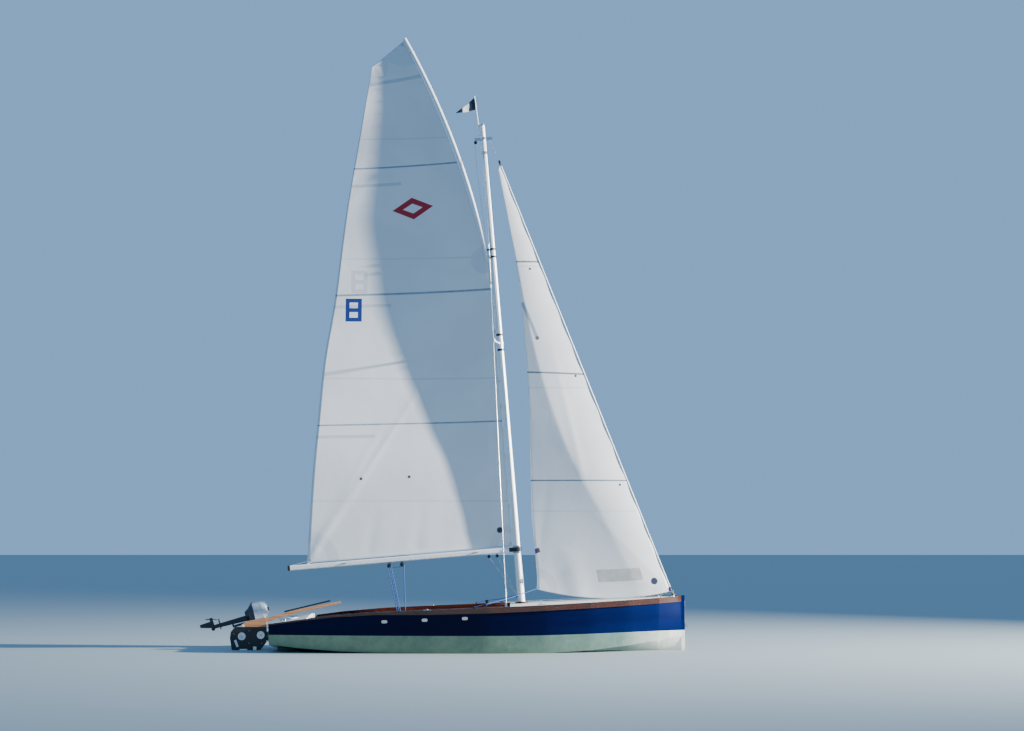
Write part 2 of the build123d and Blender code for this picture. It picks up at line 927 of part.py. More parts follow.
# Masthead: a cap, the hounds band with an ear each side, and the halyard's crane facing aft
crane_z = forestay_top_z - crane_tall
with BuildPart() as masthead:
    with BuildSketch(mast_plane(mast_head_z).offset(seam)):
        Circle(mast_head_radius + 4)
    extrude(amount=masthead_cap_tall)
    with BuildSketch(mast_plane(crane_z)):
        Circle(mast_radius(crane_z) + 8)
        with Locations((0, 0)):
            Rectangle(2 * mast_radius(crane_z) + 2 * crane_long, crane_thick)
        Circle(mast_radius(crane_z) + seam, mode=Mode.SUBTRACT)
    extrude(amount=crane_tall)
    with BuildSketch(mast_plane(shroud_top_z)):
        Circle(mast_radius(shroud_top_z) + 7)
        Rectangle(crane_thick, 2 * mast_radius(shroud_top_z) + 2 * hound_ear)
        Circle(mast_radius(shroud_top_z) + seam, mode=Mode.SUBTRACT)
    extrude(amount=crane_tall)
masthead.part.label = "masthead"
export_step(masthead.part, "parts/masthead.step")

# Chainplates: straps inside the planking that come up through the side decks
chainplate_z = hull_at(chainplate_x)[1] + chainplate_above
with BuildPart() as chainplates:
    with Locations((chainplate_x, chainplate_y, chainplate_z - chainplate_tall / 2)):
        Box(chainplate_wide, chainplate_thick, chainplate_tall)
    fillet(chainplates.edges().filter_by(Axis.Y).group_by(Axis.Z)[-1], chainplate_wide / 3)
    mirror(about=Plane.XZ)
chainplates.part.label = "chainplates"
export_step(chainplates.part, "parts/chainplates.step")

# Shrouds: a wire each side from the chainplate to the hounds, with its turnbuckle
shroud_foot = Vector(chainplate_x, chainplate_y, chainplate_z + seam)
shroud_head = Vector(
    mast_x(shroud_top_z), mast_radius(shroud_top_z) + hound_ear - shroud_radius, shroud_top_z - 1
)
shroud_run = (shroud_head - shroud_foot).normalized()
with BuildPart() as shrouds:
    with BuildSketch(Plane(origin=shroud_foot + shroud_run * 2, z_dir=shroud_run)):
        Circle(turnbuckle_radius)
    extrude(amount=turnbuckle_long)
    with BuildSketch(Plane(origin=shroud_foot + shroud_run * turnbuckle_long, z_dir=shroud_run)):
        Circle(shroud_radius)
    extrude(amount=(shroud_head - shroud_foot).length - turnbuckle_long)
    mirror(about=Plane.XZ)
shrouds.part.label = "shrouds"
export_step(shrouds.part, "parts/shrouds.step")

# Spreaders: a strut each side from the mast to its shroud, on a band
spread_share = (spreader_z - chainplate_z) / (shroud_top_z - chainplate_z)
spreader_tip = shroud_foot + (shroud_head - shroud_foot) * spread_share
spreader_root = Vector(mast_x(spreader_z), 0, spreader_z)
spreader_run = (spreader_tip - spreader_root).normalized()
with BuildPart() as spreaders:
    with BuildSketch(Plane(origin=spreader_root, z_dir=spreader_run)):
        Circle(spreader_radius)
    extrude(amount=(spreader_tip - spreader_root).length - shroud_radius - 3 * seam)
    mirror(about=Plane.XZ)
    with BuildSketch(mast_plane(spreader_z - spreader_radius - 4)):
        Circle(mast_radius(spreader_z) + 7)
    extrude(amount=2 * spreader_radius + 8)
    with BuildSketch(mast_plane(spreader_z - 60)):
        Circle(mast_radius(spreader_z - 60) + seam)
    extrude(amount=120, mode=Mode.SUBTRACT)
spreaders.part.label = "spreaders"
export_step(spreaders.part, "parts/spreaders.step")

# Forestay with the jib's furling drum at its foot, on an eye through the foredeck
stay_foot = Vector(forestay_foot_x, 0, forestay_foot_z)
stay_head = Vector(mast_x(forestay_top_z) + mast_radius(forestay_top_z) + crane_long - 20, 0, crane_z - 1)
stay_run = (stay_head - stay_foot).normalized()
with BuildPart() as forestay:
    with BuildSketch(Plane(origin=stay_foot, z_dir=stay_run)):
        Circle(shroud_radius)
    extrude(amount=(stay_head - stay_foot).length)
forestay.part.label = "forestay"
export_step(forestay.part, "parts/forestay.step")

drum_base = stay_foot - stay_run * (drum_tall + seam)
with BuildPart() as furling_drum:
    with BuildSketch(Plane(origin=drum_base, z_dir=stay_run)):
        Circle(drum_radius)
    extrude(amount=drum_flange)
    with BuildSketch(Plane(origin=drum_base, z_dir=stay_run)):
        Circle(drum_radius / 2)
    extrude(amount=drum_tall)
    with BuildSketch(Plane(origin=drum_base + stay_run * (drum_tall - drum_flange), z_dir=stay_run)):
        Circle(drum_radius)
    extrude(amount=drum_flange)
furling_drum.part.label = "furling_drum"
export_step(furling_drum.part, "parts/furling_drum.step")

# Stemhead eye: a plate on the foredeck under the drum, with an upright tang
with BuildPart() as stemhead_eye:
    eye_deck_z = hull_at(forestay_foot_x)[1] + fore_crown(forestay_foot_x)
    eye_top = drum_base - stay_run * seam
    with BuildSketch(Plane(origin=eye_top, z_dir=stay_run)):
        Circle(tack_link_radius)
    # its slanting foot stops just above the deck
    extrude(amount=-(eye_top.Z - eye_deck_z - 2 * seam + tack_link_radius * stay_run.X) / stay_run.Z)
stemhead_eye.part.label = "stemhead_eye"
export_step(stemhead_eye.part, "parts/stemhead_eye.step")

# Boom and its collar, which turns on the mast between two bands
with BuildPart() as boom:
    with BuildSketch(Plane(origin=boom_point(boom_start), x_dir=(0, 1, 0), z_dir=mast_aft)):
        RectangleRounded(boom_wide, boom_tall, boom_round)
    extrude(amount=boom_long)
    for distance in (boom_start + foot_lug_long, boom_start + boom_long - clew_inset - foot_lug_aft):
        with BuildSketch(Plane(origin=boom_point(distance), x_dir=mast_aft, z_dir=mast_up)):
            Rectangle(foot_lug_long, foot_lug_wide)
        extrude(amount=boom_tall / 2 + foot_gap - seam)
boom.part.label = "boom"
export_step(boom.part, "parts/boom.step")

collar_bore = mast_radius(boom_z - collar_tall / 2) + collar_clear
with BuildPart() as boom_collar:
    with BuildSketch(mast_plane(boom_z).offset(-collar_tall / 2)):
        Circle(collar_bore + collar_wall)
        with Locations((boom_start / 2, 0)):
            Rectangle(boom_start - 2 * seam, boom_wide * 0.6)
        Circle(collar_bore, mode=Mode.SUBTRACT)
    extrude(amount=collar_tall)
boom_collar.part.label = "boom_collar"
export_step(boom_collar.part, "parts/boom_collar.step")

# Boom fittings: the dark end cap and the mainsheet block's strap
with BuildPart() as boom_cap:
    with BuildSketch(Plane(origin=boom_point(boom_start + boom_long + seam), x_dir=(0, 1, 0), z_dir=mast_aft)):
        RectangleRounded(boom_wide, boom_tall, boom_round)
    extrude(amount=boom_cap_long)
boom_cap.part.label = "boom_cap"
export_step(boom_cap.part, "parts/boom_cap.step")

# Yard: a round spar on a shallow arc, with a dark cap at its tip
heel, middle, tip = yard_point(0), yard_point(0.5), yard_point(1)
with BuildPart() as yard:
    with BuildLine(Plane.XZ) as yard_line:
        ThreePointArc(heel, middle, tip)
    with BuildSketch(Plane(origin=yard_line.line @ 0, z_dir=yard_line.line % 0)):
        Circle(yard_radius)
    sweep()
yard.part.label = "yard"
export_step(yard.part, "parts/yard.step")

# Parrels: rings round the mast that carry the yard's heel
with BuildPart() as yard_parrels:
    for z in parrel_places:
        bore = mast_radius(z - parrel_tall) + collar_clear
        with BuildSketch(mast_plane(z)):
            Circle(bore + parrel_wall)
            with Locations(((bore + yard_radius), 0)):
                Rectangle(2 * yard_radius, yard_radius)
            Circle(bore, mode=Mode.SUBTRACT)
        extrude(amount=parrel_tall)
    add(yard.part, mode=Mode.SUBTRACT)
yard_parrels.part.label = "yard_parrels"
export_step(yard_parrels.part, "parts/yard_parrels.step")


def luff_point(z):
    """Where the mainsail's luff is at height z: behind the mast, or behind the yard above its heel."""
    behind_mast = mast_x(z) - mast_radius(z) - luff_gap
    share = (z - yard_heel_z) / (yard_tip_z - yard_heel_z)
    if share <= 0:
        return Vector(behind_mast, 0, z)
    return Vector(min(behind_mast, yard_point(share)[0] - yard_radius * yard_lean - luff_seat), 0, z)


def sail_section(luff, leech):
    """Plane along the chord from luff to leech, its y to port, and the chord's length."""
    chord = leech - luff
    along = chord.normalized()
    return Plane(origin=luff, x_dir=along, z_dir=(-along.Z, 0, along.X)), chord.length


# Mainsail: a thin cloth with its fullness to port, from the boom up to the slanting head
# luff height, leech x, leech z, camber as a share of the chord
main_rows = [
    (2600, -2464, 2601, 0.072),
    (3350, -2408, 3285, 0.078),
    (4250, -2335, 4200, 0.072),
    (5321, -2178, 5250, 0.070),
    (6360, -2049, 6356, 0.066),
    (7245, -1916, 7176, 0.056),
    (8120, -1752, 8110, 0.045),
]
foot_up = boom_tall / 2 + foot_gap
tack = boom_point(mast_radius(boom_z) + luff_gap, foot_up)
clew = boom_point(boom_start + boom_long - clew_inset, foot_up)
peak = luff_point(yard_tip_z - peak_below)
main_sections = [sail_section(tack, clew) + (foot_camber,)]
for luff_z, leech_x, leech_z, camber in main_rows:
    main_sections.append(sail_section(luff_point(luff_z), Vector(leech_x, 0, leech_z)) + (camber,))
main_sections.append(sail_section(peak, Vector(head_aft_x, 0, head_aft_z)) + (head_camber,))
with BuildPart() as mainsail:
    for plane, wide, camber in main_sections:
        with BuildSketch(plane):
            with BuildLine():
                bulge = wide * camber
                ThreePointArc((0, -sail_thick / 2), (wide / 2, bulge - sail_thick / 2), (wide, -sail_thick / 2))
                Line((wide, -sail_thick / 2), (wide, sail_thick / 2))
                ThreePointArc((wide, sail_thick / 2), (wide / 2, bulge + sail_thick / 2), (0, sail_thick / 2))
                Line((0, sail_thick / 2), (0, -sail_thick / 2))
            make_face()
    loft(ruled=True)
mainsail.part.label = "mainsail"
export_step(mainsail.part, "parts/mainsail.step")

# Jib: set on the forestay, its fullness to starboard
# share of the stay from its foot to the head, leech x, leech z, camber as a share of the chord
jib_rows = [
    (0.0006, 842, 880, 0.015),
    (0.060, 835, 1190, 0.030),
    (0.170, 768, 1960, 0.045),
    (0.280, 745, 2750, 0.050),
    (0.400, 728, 3580, 0.050),
    (0.540, 672, 4500, 0.045),
    (0.700, 560, 5560, 0.040),
    (0.840, 400, 6470, 0.035),
    (0.945, 268, 7140, 0.030),
]
# the foot's round below them: fore x, aft x, height, camber
jib_foot_rows = [
    (2000, 1330, 752, 0.030),
    (2480, 960, 806, 0.020),
]
jib_sections = [
    sail_section(Vector(fore_x, 0, z), Vector(aft_x, 0, z)) + (camber,) for fore_x, aft_x, z, camber in jib_foot_rows
]
for share, leech_x, leech_z, camber in jib_rows:
    luff = stay_foot + (stay_head - stay_foot) * share - Vector(shroud_radius + stay_gap, 0, 0)
    jib_sections.append(sail_section(luff, Vector(leech_x, 0, leech_z)) + (camber,))
with BuildPart() as jib:
    for plane, wide, camber in jib_sections:
        with BuildSketch(plane):
            with BuildLine():
                bulge = -wide * camber
                ThreePointArc((0, -sail_thick / 2), (wide / 2, bulge - sail_thick / 2), (wide, -sail_thick / 2))
                Line((wide, -sail_thick / 2), (wide, sail_thick / 2))
                ThreePointArc((wide, sail_thick / 2), (wide / 2, bulge + sail_thick / 2), (0, sail_thick / 2))
                Line((0, sail_thick / 2), (0, -sail_thick / 2))
            make_face()
    loft(ruled=True)
jib.part.label = "jib"
export_step(jib.part, "parts/jib.step")

# Burgee: a staff beside the masthead with a three-cornered flag
staff_foot = Vector(mast_x(staff_foot_z) - mast_radius(staff_foot_z) - staff_radius - 1, 0, staff_foot_z)
staff_top = Vector(staff_top_x, 0, staff_top_z)
staff_run = (staff_top - staff_foot).normalized()
with BuildPart() as burgee_staff:
    with BuildSketch(Plane(origin=staff_foot, z_dir=staff_run)):
        Circle(staff_radius)
    extrude(amount=(staff_top - staff_foot).length)
burgee_staff.part.label = "burgee_staff"
export_step(burgee_staff.part, "parts/burgee_staff.step")

hoist_top = staff_top - staff_run * 12
hoist_low = hoist_top - staff_run * burgee_hoist
with BuildPart() as burgee:
    with BuildSketch(Plane.XZ):
        with BuildLine():
            Polyline(
                (hoist_top.X - staff_radius - seam, hoist_top.Z),
                (hoist_low.X - staff_radius - seam, hoist_low.Z),
                (burgee_fly_x, burgee_fly_z),
                close=True,
            )
        make_face()
    extrude(amount=burgee_thick / 2, both=True)
burgee.part.label = "burgee"
export_step(burgee.part, "parts/burgee.step")

# Scuppers: three oval covers on each topside
with BuildPart() as scuppers:
    for x in scupper_places:
        with BuildSketch(topside_plane(x, scupper_below).offset(2 * seam)):
            SlotOverall(scupper_long, scupper_tall)
        extrude(amount=scupper_thick)
    mirror(about=Plane.XZ)
scuppers.part.label = "scuppers"
export_step(scuppers.part, "parts/scuppers.step")

# Gudgeons on the transom, each a ring on a bracket
with BuildPart() as gudgeons:
    for z in gudgeon_places:
        with BuildSketch(Plane.XY.offset(z)):
            with Locations((rudder_axis_x, 0)):
                Circle(lug_radius)
            with Locations(((rudder_axis_x - half_length) / 2, 0)):
                Rectangle(-half_length - rudder_axis_x - 2 * seam, 2 * lug_radius)
            with Locations((rudder_axis_x, 0)):
                Circle(pintle_radius + pin_clear, mode=Mode.SUBTRACT)
        extrude(amount=lug_tall)
gudgeons.part.label = "gudgeons"
export_step(gudgeons.part, "parts/gudgeons.step")

# Rudder metalwork: a lug above each gudgeon with a pin down through it, and two round plates a side
with BuildPart() as pintles:
    for z in gudgeon_places:
        with BuildSketch(Plane.XY.offset(z + lug_tall + 1)):
            with Locations((rudder_axis_x, 0)):
                Circle(lug_radius)
            with Locations(((rudder_axis_x + cheek_fore_x) / 2, 0)):
                Rectangle(rudder_axis_x - cheek_fore_x - 2 * seam, 2 * lug_radius)
        extrude(amount=lug_tall)
        with BuildSketch(Plane.XY.offset(z - 6)):
            with Locations((rudder_axis_x, 0)):
                Circle(pintle_radius)
        extrude(amount=lug_tall + 10)
    for x, z in ((blade_pin_x, blade_pin_z), (-half_length - plate_fore_back, plate_fore_z)):
        for side in (-1, 1):
            plate_y = side * (cheek_gap / 2 + cheek_thick + seam + plate_thick / 2)
            with BuildSketch(Plane.XZ.offset(plate_y - plate_thick / 2)):
                with Locations((x, z)):
                    Circle(plate_radius)
                    Circle(blade_pin_radius + pin_clear, mode=Mode.SUBTRACT)
            extrude(amount=plate_thick)
pintles.part.label = "pintles"
export_step(pintles.part, "parts/pintles.step")

# Rudder stock: two dark cheeks either side of the blade, with the filling piece at their front
with BuildPart() as rudder_cheeks:
    for side in (-1, 1):
        with BuildSketch(Plane.XZ.offset(side * (cheek_gap + cheek_thick) / 2 - cheek_thick / 2)) as cheek_face:
            with BuildLine():
                Polyline(*[(-half_length - back, z) for back, z in cheek_outline], close=True)
            make_face()
            fillet(cheek_face.vertices().sort_by(Axis.X)[:-2], cheek_round)
            with Locations((blade_pin_x, blade_pin_z)):
                Circle(blade_pin_radius + pin_clear, mode=Mode.SUBTRACT)
        extrude(amount=cheek_thick)
    with BuildSketch(Plane.XZ.offset(-cheek_gap / 2)):
        with BuildLine():
            Polyline(
                (cheek_fore_x, cheek_top_z),
                (cheek_fore_x, cheek_fore_low_z),
                (cheek_fore_x - filler_long, cheek_fore_low_z),
                (cheek_fore_x - filler_long, cheek_top_z),
                close=True,
            )
        make_face()
    extrude(amount=cheek_gap)
rudder_cheeks.part.label = "rudder_cheeks"
export_step(rudder_cheeks.part, "parts/rudder_cheeks.step")

# Varnished rudder head above the cheeks, which the tiller fits into
with BuildPart() as rudder_head:
    with BuildSketch(Plane.XZ.offset(-head_wide / 2)):
        with BuildLine():
            Polyline(
                (cheek_fore_x, cheek_top_z + seam),
                *[(-half_length - back, z) for back, z in head_outline],
                (-half_length - head_outline[-1][0], cheek_top_z + seam),
                close=True,
            )
        make_face()
    extrude(amount=head_wide)
rudder_head.part.label = "rudder_head"
export_step(rudder_head.part, "parts/rudder_head.step")

# Tiller: slightly bowed and tapering forward, rising from the rudder head over the aft deck
tiller_run = Vector(cos(radians(tiller_slope)), 0, sin(radians(tiller_slope)))
tiller_up = Vector(-sin(radians(tiller_slope)), 0, cos(radians(tiller_slope)))
root_deep = tiller_sections[0][2]
tiller_root = Vector(cheek_fore_x + root_deep / 2 * sin(radians(tiller_slope)) + seam, 0, tiller_root_z)
with BuildPart() as tiller:
    for along, rise, deep, wide in tiller_sections:
        middle = tiller_root + tiller_run * along + tiller_up * rise
        with BuildSketch(Plane(origin=middle, x_dir=(0, 1, 0), z_dir=tiller_run)):
            RectangleRounded(wide, deep, tiller_round)
    loft(ruled=True)
tiller.part.label = "tiller"
export_step(tiller.part, "parts/tiller.step")

# Tiller extension, resting on the bow of the tiller
extension_lift = max(rise + deep / 2 for along, rise, deep, wide in tiller_sections) + extension_radius + seam
with BuildPart() as tiller_extension:
    with BuildSketch(
        Plane(origin=tiller_root + tiller_run * extension_start + tiller_up * extension_lift, z_dir=tiller_run)
    ):
        Circle(extension_radius)
    extrude(amount=extension_long)
tiller_extension.part.label = "tiller_extension"
export_step(tiller_extension.part, "parts/tiller_extension.step")

# Rudder blade, lowered, on its pin through the cheeks
with BuildPart() as rudder_blade:
    with BuildSketch(Plane.XZ.offset(-blade_thick / 2)):
        with BuildLine():
            Polyline(
                (blade_fore_x, blade_pin_z + blade_above_pin),
                (blade_fore_x, blade_tip_z),
                (blade_aft_x, blade_tip_z),
                (blade_aft_x, blade_pin_z + blade_above_pin),
                close=True,
            )
        make_face()
    extrude(amount=blade_thick)
    fillet(rudder_blade.edges().filter_by(Axis.Y), blade_round)
    pin_half = cheek_gap / 2 + cheek_thick + plate_thick + pin_proud
    with BuildSketch(Plane.XZ.offset(-pin_half)):
        with Locations((blade_pin_x, blade_pin_z)):
            Circle(blade_pin_radius)
    extrude(amount=2 * pin_half)
rudder_blade.part.label = "rudder_blade"
export_step(rudder_blade.part, "parts/rudder_blade.step")

# Outboard bracket: a plate on the transom, two arms and the pad that carries the motor
with BuildPart() as outboard_bracket:
    arm_z = pad_top_z - arm_below
    with Locations((-half_length - arm_thick / 2 - seam, motor_y, arm_z - bracket_plate_tall / 2 + arm_tall / 2)):
        Box(arm_thick, 2 * arm_spread + arm_thick, bracket_plate_tall)
    for side in (-1, 1):
        with BuildSketch(Plane.XZ.offset(-motor_y - side * arm_spread - arm_thick / 2)):
            with BuildLine():
                Polyline(
                    (-half_length - arm_thick, arm_z + arm_tall / 2),
                    (-half_length - arm_thick, arm_z + arm_tall / 2 - bracket_plate_tall),
                    (pad_x + pad_thick, arm_z - arm_tall / 2),
                    (pad_x + pad_thick, arm_z + arm_tall / 2),
                    close=True,
                )
            make_face()
        extrude(amount=arm_thick)
outboard_bracket.part.label = "outboard_bracket"
export_step(outboard_bracket.part, "parts/outboard_bracket.step")

with BuildPart() as outboard_pad:
    with Locations((pad_x + pad_thick / 2 - seam, motor_y, pad_top_z - pad_tall / 2)):
        Box(pad_thick, pad_wide, pad_tall)
    fillet(outboard_pad.edges().filter_by(Axis.X), 18)
outboard_pad.part.label = "outboard_pad"
export_step(outboard_pad.part, "parts/outboard_pad.step")

# Clamp: two plates hooked over the pad, with the tilt pin between them
clamp_back = pad_x - 2 * seam
with BuildPart() as outboard_clamp:
    for side in (-1, 1):
        with BuildSketch(Plane.XZ.offset(-motor_y - side * clamp_spread - clamp_plate / 2)):
            with BuildLine():
                Polyline(
                    (clamp_back, pad_top_z + seam),
                    (pad_x + pad_thick + seam, pad_top_z + seam),
                    (pad_x + pad_thick + seam, pad_top_z - clamp_hook),
                    (pad_x + pad_thick + clamp_plate, pad_top_z - clamp_hook),
                    (pad_x + pad_thick + clamp_plate, pad_top_z + clamp_plate),
                    (clamp_back, tilt_pin_z + 16),
                    (tilt_pin_x - 16, tilt_pin_z + 16),
                    (tilt_pin_x - 16, tilt_pin_z - 30),
                    (clamp_back - 14, pad_top_z - clamp_drop),
                    (clamp_back, pad_top_z - clamp_drop),
                    close=True,
                )
            make_face()
        extrude(amount=clamp_plate)
    with BuildSketch(Plane.XZ.offset(-motor_y - clamp_spread)):
        with Locations((tilt_pin_x, tilt_pin_z)):
            Circle(pin_radius)
    extrude(amount=2 * clamp_spread)
outboard_clamp.part.label = "outboard_clamp"
export_step(outboard_clamp.part, "parts/outboard_clamp.step")

# Motor pieces stand on this plane: origin on the tilt pin, x to the motor's front, z up its leg
tilt = radians(tilt_angle)
motor_plane = Plane(
    origin=(tilt_pin_x, motor_y, tilt_pin_z), x_dir=(cos(tilt), 0, -sin(tilt)), z_dir=(sin(tilt), 0, cos(tilt))
)


def motor_level(height):
    """The motor's plane moved along its leg."""
    return motor_plane.offset(height)


# the motor's side plane: x to the front, y up the leg, looking to port
motor_side = Plane(
    origin=(tilt_pin_x, motor_y, tilt_pin_z), x_dir=(cos(tilt), 0, -sin(tilt)), z_dir=(0, -1, 0)
)

with BuildPart() as outboard_swivel:
    with BuildSketch(motor_side.offset(-swivel_half)):
        Circle(pin_radius + 7)
        with Locations((-swivel_back / 2, -20)):
            Rectangle(swivel_back, 40)
        Circle(pin_radius + pin_clear, mode=Mode.SUBTRACT)
    extrude(amount=2 * swivel_half)
    with BuildSketch(motor_level(-swivel_long)):
        with Locations((-swivel_back, 0)):
            Circle(swivel_radius)
    extrude(amount=swivel_long - 14)
    with BuildSketch(motor_level(-swivel_long - 1)):
        with Locations((-swivel_back, 0)):
            Circle(steer_shaft_radius + pin_clear)
    extrude(amount=swivel_long + 60, mode=Mode.SUBTRACT)
outboard_swivel.part.label = "outboard_swivel"
export_step(outboard_swivel.part, "parts/outboard_swivel.step")

# Steering shaft with its lower yoke and upper head, fixed to the leg
with BuildPart() as outboard_leg:
    for height, long, wide in leg_sections:
        with BuildSketch(motor_level(height)):
            with Locations((-leg_back, 0)):
                RectangleRounded(long, wide, leg_round)
    loft(ruled=True)
    with BuildSketch(motor_level(-plate_drop)):
        with Locations((-leg_back - splash_back, 0)):
            SlotOverall(splash_long, splash_wide)
    extrude(amount=splash_thick)
    with BuildSketch(motor_level(-swivel_long - 30)):
        with Locations((-swivel_back, 0)):
            Circle(swivel_radius)
        with Locations((-(swivel_back + leg_back) / 2, 0)):
            Rectangle(leg_back - swivel_back, yoke_wide)
    extrude(amount=yoke_tall)
    with BuildSketch(motor_level(-swivel_long - 20)):
        with Locations((-swivel_back, 0)):
            Circle(steer_shaft_radius)
    extrude(amount=swivel_long + 10)
outboard_leg.part.label = "outboard_leg"
export_step(outboard_leg.part, "parts/outboard_leg.step")

# Gearcase: a torpedo round the propeller shaft with its skeg
with BuildPart() as outboard_gearcase:
    with BuildSketch(motor_level(-prop_drop)):
        with BuildLine():
            Line((gear_fore, 0), (gear_aft, 0))
            Line((gear_aft, 0), (gear_aft, hub_radius))
            Line((gear_aft, hub_radius), (gear_fore - gear_radius, gear_radius))
            CenterArc((gear_fore - gear_radius, 0), gear_radius, 0, 90)
        make_face()
    revolve(axis=Axis(motor_level(-prop_drop).origin, motor_plane.x_dir))
    with BuildSketch(motor_side.offset(-5)):
        with BuildLine():
            Polyline(
                (gear_fore - 40, -prop_drop),
                (gear_fore - 90, -skeg_drop),
                (gear_fore - 135, -skeg_drop),
                (gear_aft + 6, -prop_drop),
                close=True,
            )
        make_face()
    extrude(amount=10)
    with BuildSketch(motor_level(-prop_drop)):
        with Locations((-leg_back, 0)):
            RectangleRounded(*leg_sections[0][1:], leg_round)
    extrude(amount=prop_drop - leg_bottom - seam)
outboard_gearcase.part.label = "outboard_gearcase"
export_step(outboard_gearcase.part, "parts/outboard_gearcase.step")

# Propeller: a hub with three twisted blades behind the gearcase
prop_plane = Plane(
    origin=motor_side.from_local_coords((gear_aft - prop_clear, -prop_drop, 0)), z_dir=motor_plane.x_dir * -1
)
with BuildPart() as propeller:
    with BuildSketch(prop_plane):
        Circle(hub_radius)
    extrude(amount=hub_long)
    for turn in (0, 120, 240):
        blade_root = prop_plane.rotated((0, 0, turn)).offset(hub_long / 2)
        for reach, pitch, chord in prop_sections:
            blade_turn = Location((0, reach * prop_radius, 0), (-90, pitch, 0))
            with BuildSketch(Plane(blade_root.location * blade_turn)):
                RectangleRounded(chord, prop_thick, prop_thick / 3)
        loft(ruled=True)
propeller.part.label = "propeller"
export_step(propeller.part, "parts/propeller.step")

# Motor pan and cowl
with BuildPart() as outboard_pan:
    for height, back in pan_levels:
        with BuildSketch(motor_level(height)) as pan_face:
            Polygon(
                (pan_front, pan_front_wide / 2),
                (pan_front - pan_taper, pan_wide / 2),
                (back, pan_wide / 2),
                (back, -pan_wide / 2),
                (pan_front - pan_taper, -pan_wide / 2),
                (pan_front, -pan_front_wide / 2),
                align=None,
            )
            fillet(pan_face.vertices(), pan_round)
    loft(ruled=True)
outboard_pan.part.label = "outboard_pan"
export_step(outboard_pan.part, "parts/outboard_pan.step")

with BuildPart() as outboard_cowl:
    for height, front, back, wide, corner in cowl_sections:
        with BuildSketch(motor_level(height)):
            with Locations(((front + back) / 2, 0)):
                RectangleRounded(front - back, wide, corner)
    loft(ruled=True)
outboard_cowl.part.label = "outboard_cowl"
export_step(outboard_cowl.part, "parts/outboard_cowl.step")
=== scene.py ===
import math

import bmesh
import bpy
from mathutils import Matrix, Vector, noise
from mathutils.bvhtree import BVHTree


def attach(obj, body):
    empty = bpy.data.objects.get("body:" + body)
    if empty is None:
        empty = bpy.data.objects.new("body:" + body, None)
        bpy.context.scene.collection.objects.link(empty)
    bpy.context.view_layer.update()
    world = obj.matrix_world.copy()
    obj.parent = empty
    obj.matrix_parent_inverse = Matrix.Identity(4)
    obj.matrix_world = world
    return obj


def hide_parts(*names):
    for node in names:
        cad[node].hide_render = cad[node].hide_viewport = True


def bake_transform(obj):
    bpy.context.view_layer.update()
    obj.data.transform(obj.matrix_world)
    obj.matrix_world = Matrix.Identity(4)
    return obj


# A sailing dinghy afloat, dressed for its picture. Metres, +X to the bow, +Y to port, +Z up.

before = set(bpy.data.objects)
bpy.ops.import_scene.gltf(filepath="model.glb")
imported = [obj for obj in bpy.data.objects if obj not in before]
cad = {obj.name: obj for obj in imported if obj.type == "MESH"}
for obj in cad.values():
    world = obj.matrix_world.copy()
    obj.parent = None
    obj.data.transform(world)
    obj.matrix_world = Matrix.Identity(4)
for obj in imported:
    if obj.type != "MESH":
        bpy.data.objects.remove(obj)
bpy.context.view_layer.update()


# ---------------------------------------------------------------- camera and light
camera_data = bpy.data.cameras.new("camera")
camera_data.lens = 60
camera_data.sensor_width = 36
camera = bpy.data.objects.new("camera", camera_data)
camera.location = (0.476, -25.2, 1.553)
looks_up = 5.938
camera.rotation_euler = (math.radians(90 + looks_up), 0, 0)
bpy.context.scene.collection.objects.link(camera)
bpy.context.scene.camera = camera


def linear(code):
    """The linear colour of an sRGB hex value."""
    parts = [int(code[place : place + 2], 16) / 255 for place in (0, 2, 4)]
    return tuple(part / 12.92 if part <= 0.04045 else ((part + 0.055) / 1.055) ** 2.4 for part in parts) + (1.0,)


def square_lamp(name, place, aim, size, power, colour):
    """A square lamp that looks at a point."""
    data = bpy.data.lights.new(name, "AREA")
    data.shape = "SQUARE"
    data.size = size
    data.energy = power
    data.color = linear(colour)[:3]
    # a grid over the lamp keeps its light off the floor below it
    data.spread = math.radians(70)
    lamp = bpy.data.objects.new(name, data)
    lamp.location = place
    lamp.rotation_euler = (Vector(aim) - Vector(place)).to_track_quat("-Z", "Y").to_euler()
    bpy.context.scene.collection.objects.link(lamp)


# small and far off, ahead and a little to starboard, so that the sails' shade lines are as sharp as the sun's
square_lamp("key_lamp", place=(26, -3.7, 9.0), aim=(0, 0, 4), size=0.6, power=6300, colour="fff8ee")
world = bpy.data.worlds.new("studio")
world.use_nodes = True
world.node_tree.nodes["Background"].inputs["Color"].default_value = linear("85b6e9")
world.node_tree.nodes["Background"].inputs["Strength"].default_value = 0.94
bpy.context.scene.world = world


# ---------------------------------------------------------------- materials
def add(tree, kind, inputs=None, stops=None, **settings):
    """Adds a shader node. Its inputs take a value or another node's output; stops are a ramp's colours."""
    made = tree.nodes.new("ShaderNode" + kind)
    for name, value in settings.items():
        setattr(made, name, value)
    for name, value in (inputs or {}).items():
        if isinstance(value, bpy.types.NodeSocket):
            tree.links.new(value, made.inputs[name])
        else:
            made.inputs[name].default_value = value
    if stops:
        ramp = made.color_ramp
        while len(ramp.elements) < len(stops):
            ramp.elements.new(0.5)
        for element, (place, code) in zip(ramp.elements, stops):
            element.position = place
            element.color = linear(code)
    return made


def begin(name):
    """A new material: itself, its tree, its object coordinates and its shader."""
    made = bpy.data.materials.new(name)
    made.use_nodes = True
    tree = made.node_tree
    tree.nodes.clear()
    coords = add(tree, "TexCoord").outputs["Object"]
    shader = add(tree, "BsdfPrincipled")
    add(tree, "OutputMaterial", {"Surface": shader.outputs["BSDF"]})
    return made, tree, coords, shader


def per(millimetres):
    """The scale of a pattern whose marks are that many millimetres apart."""
    return 1000 / millimetres


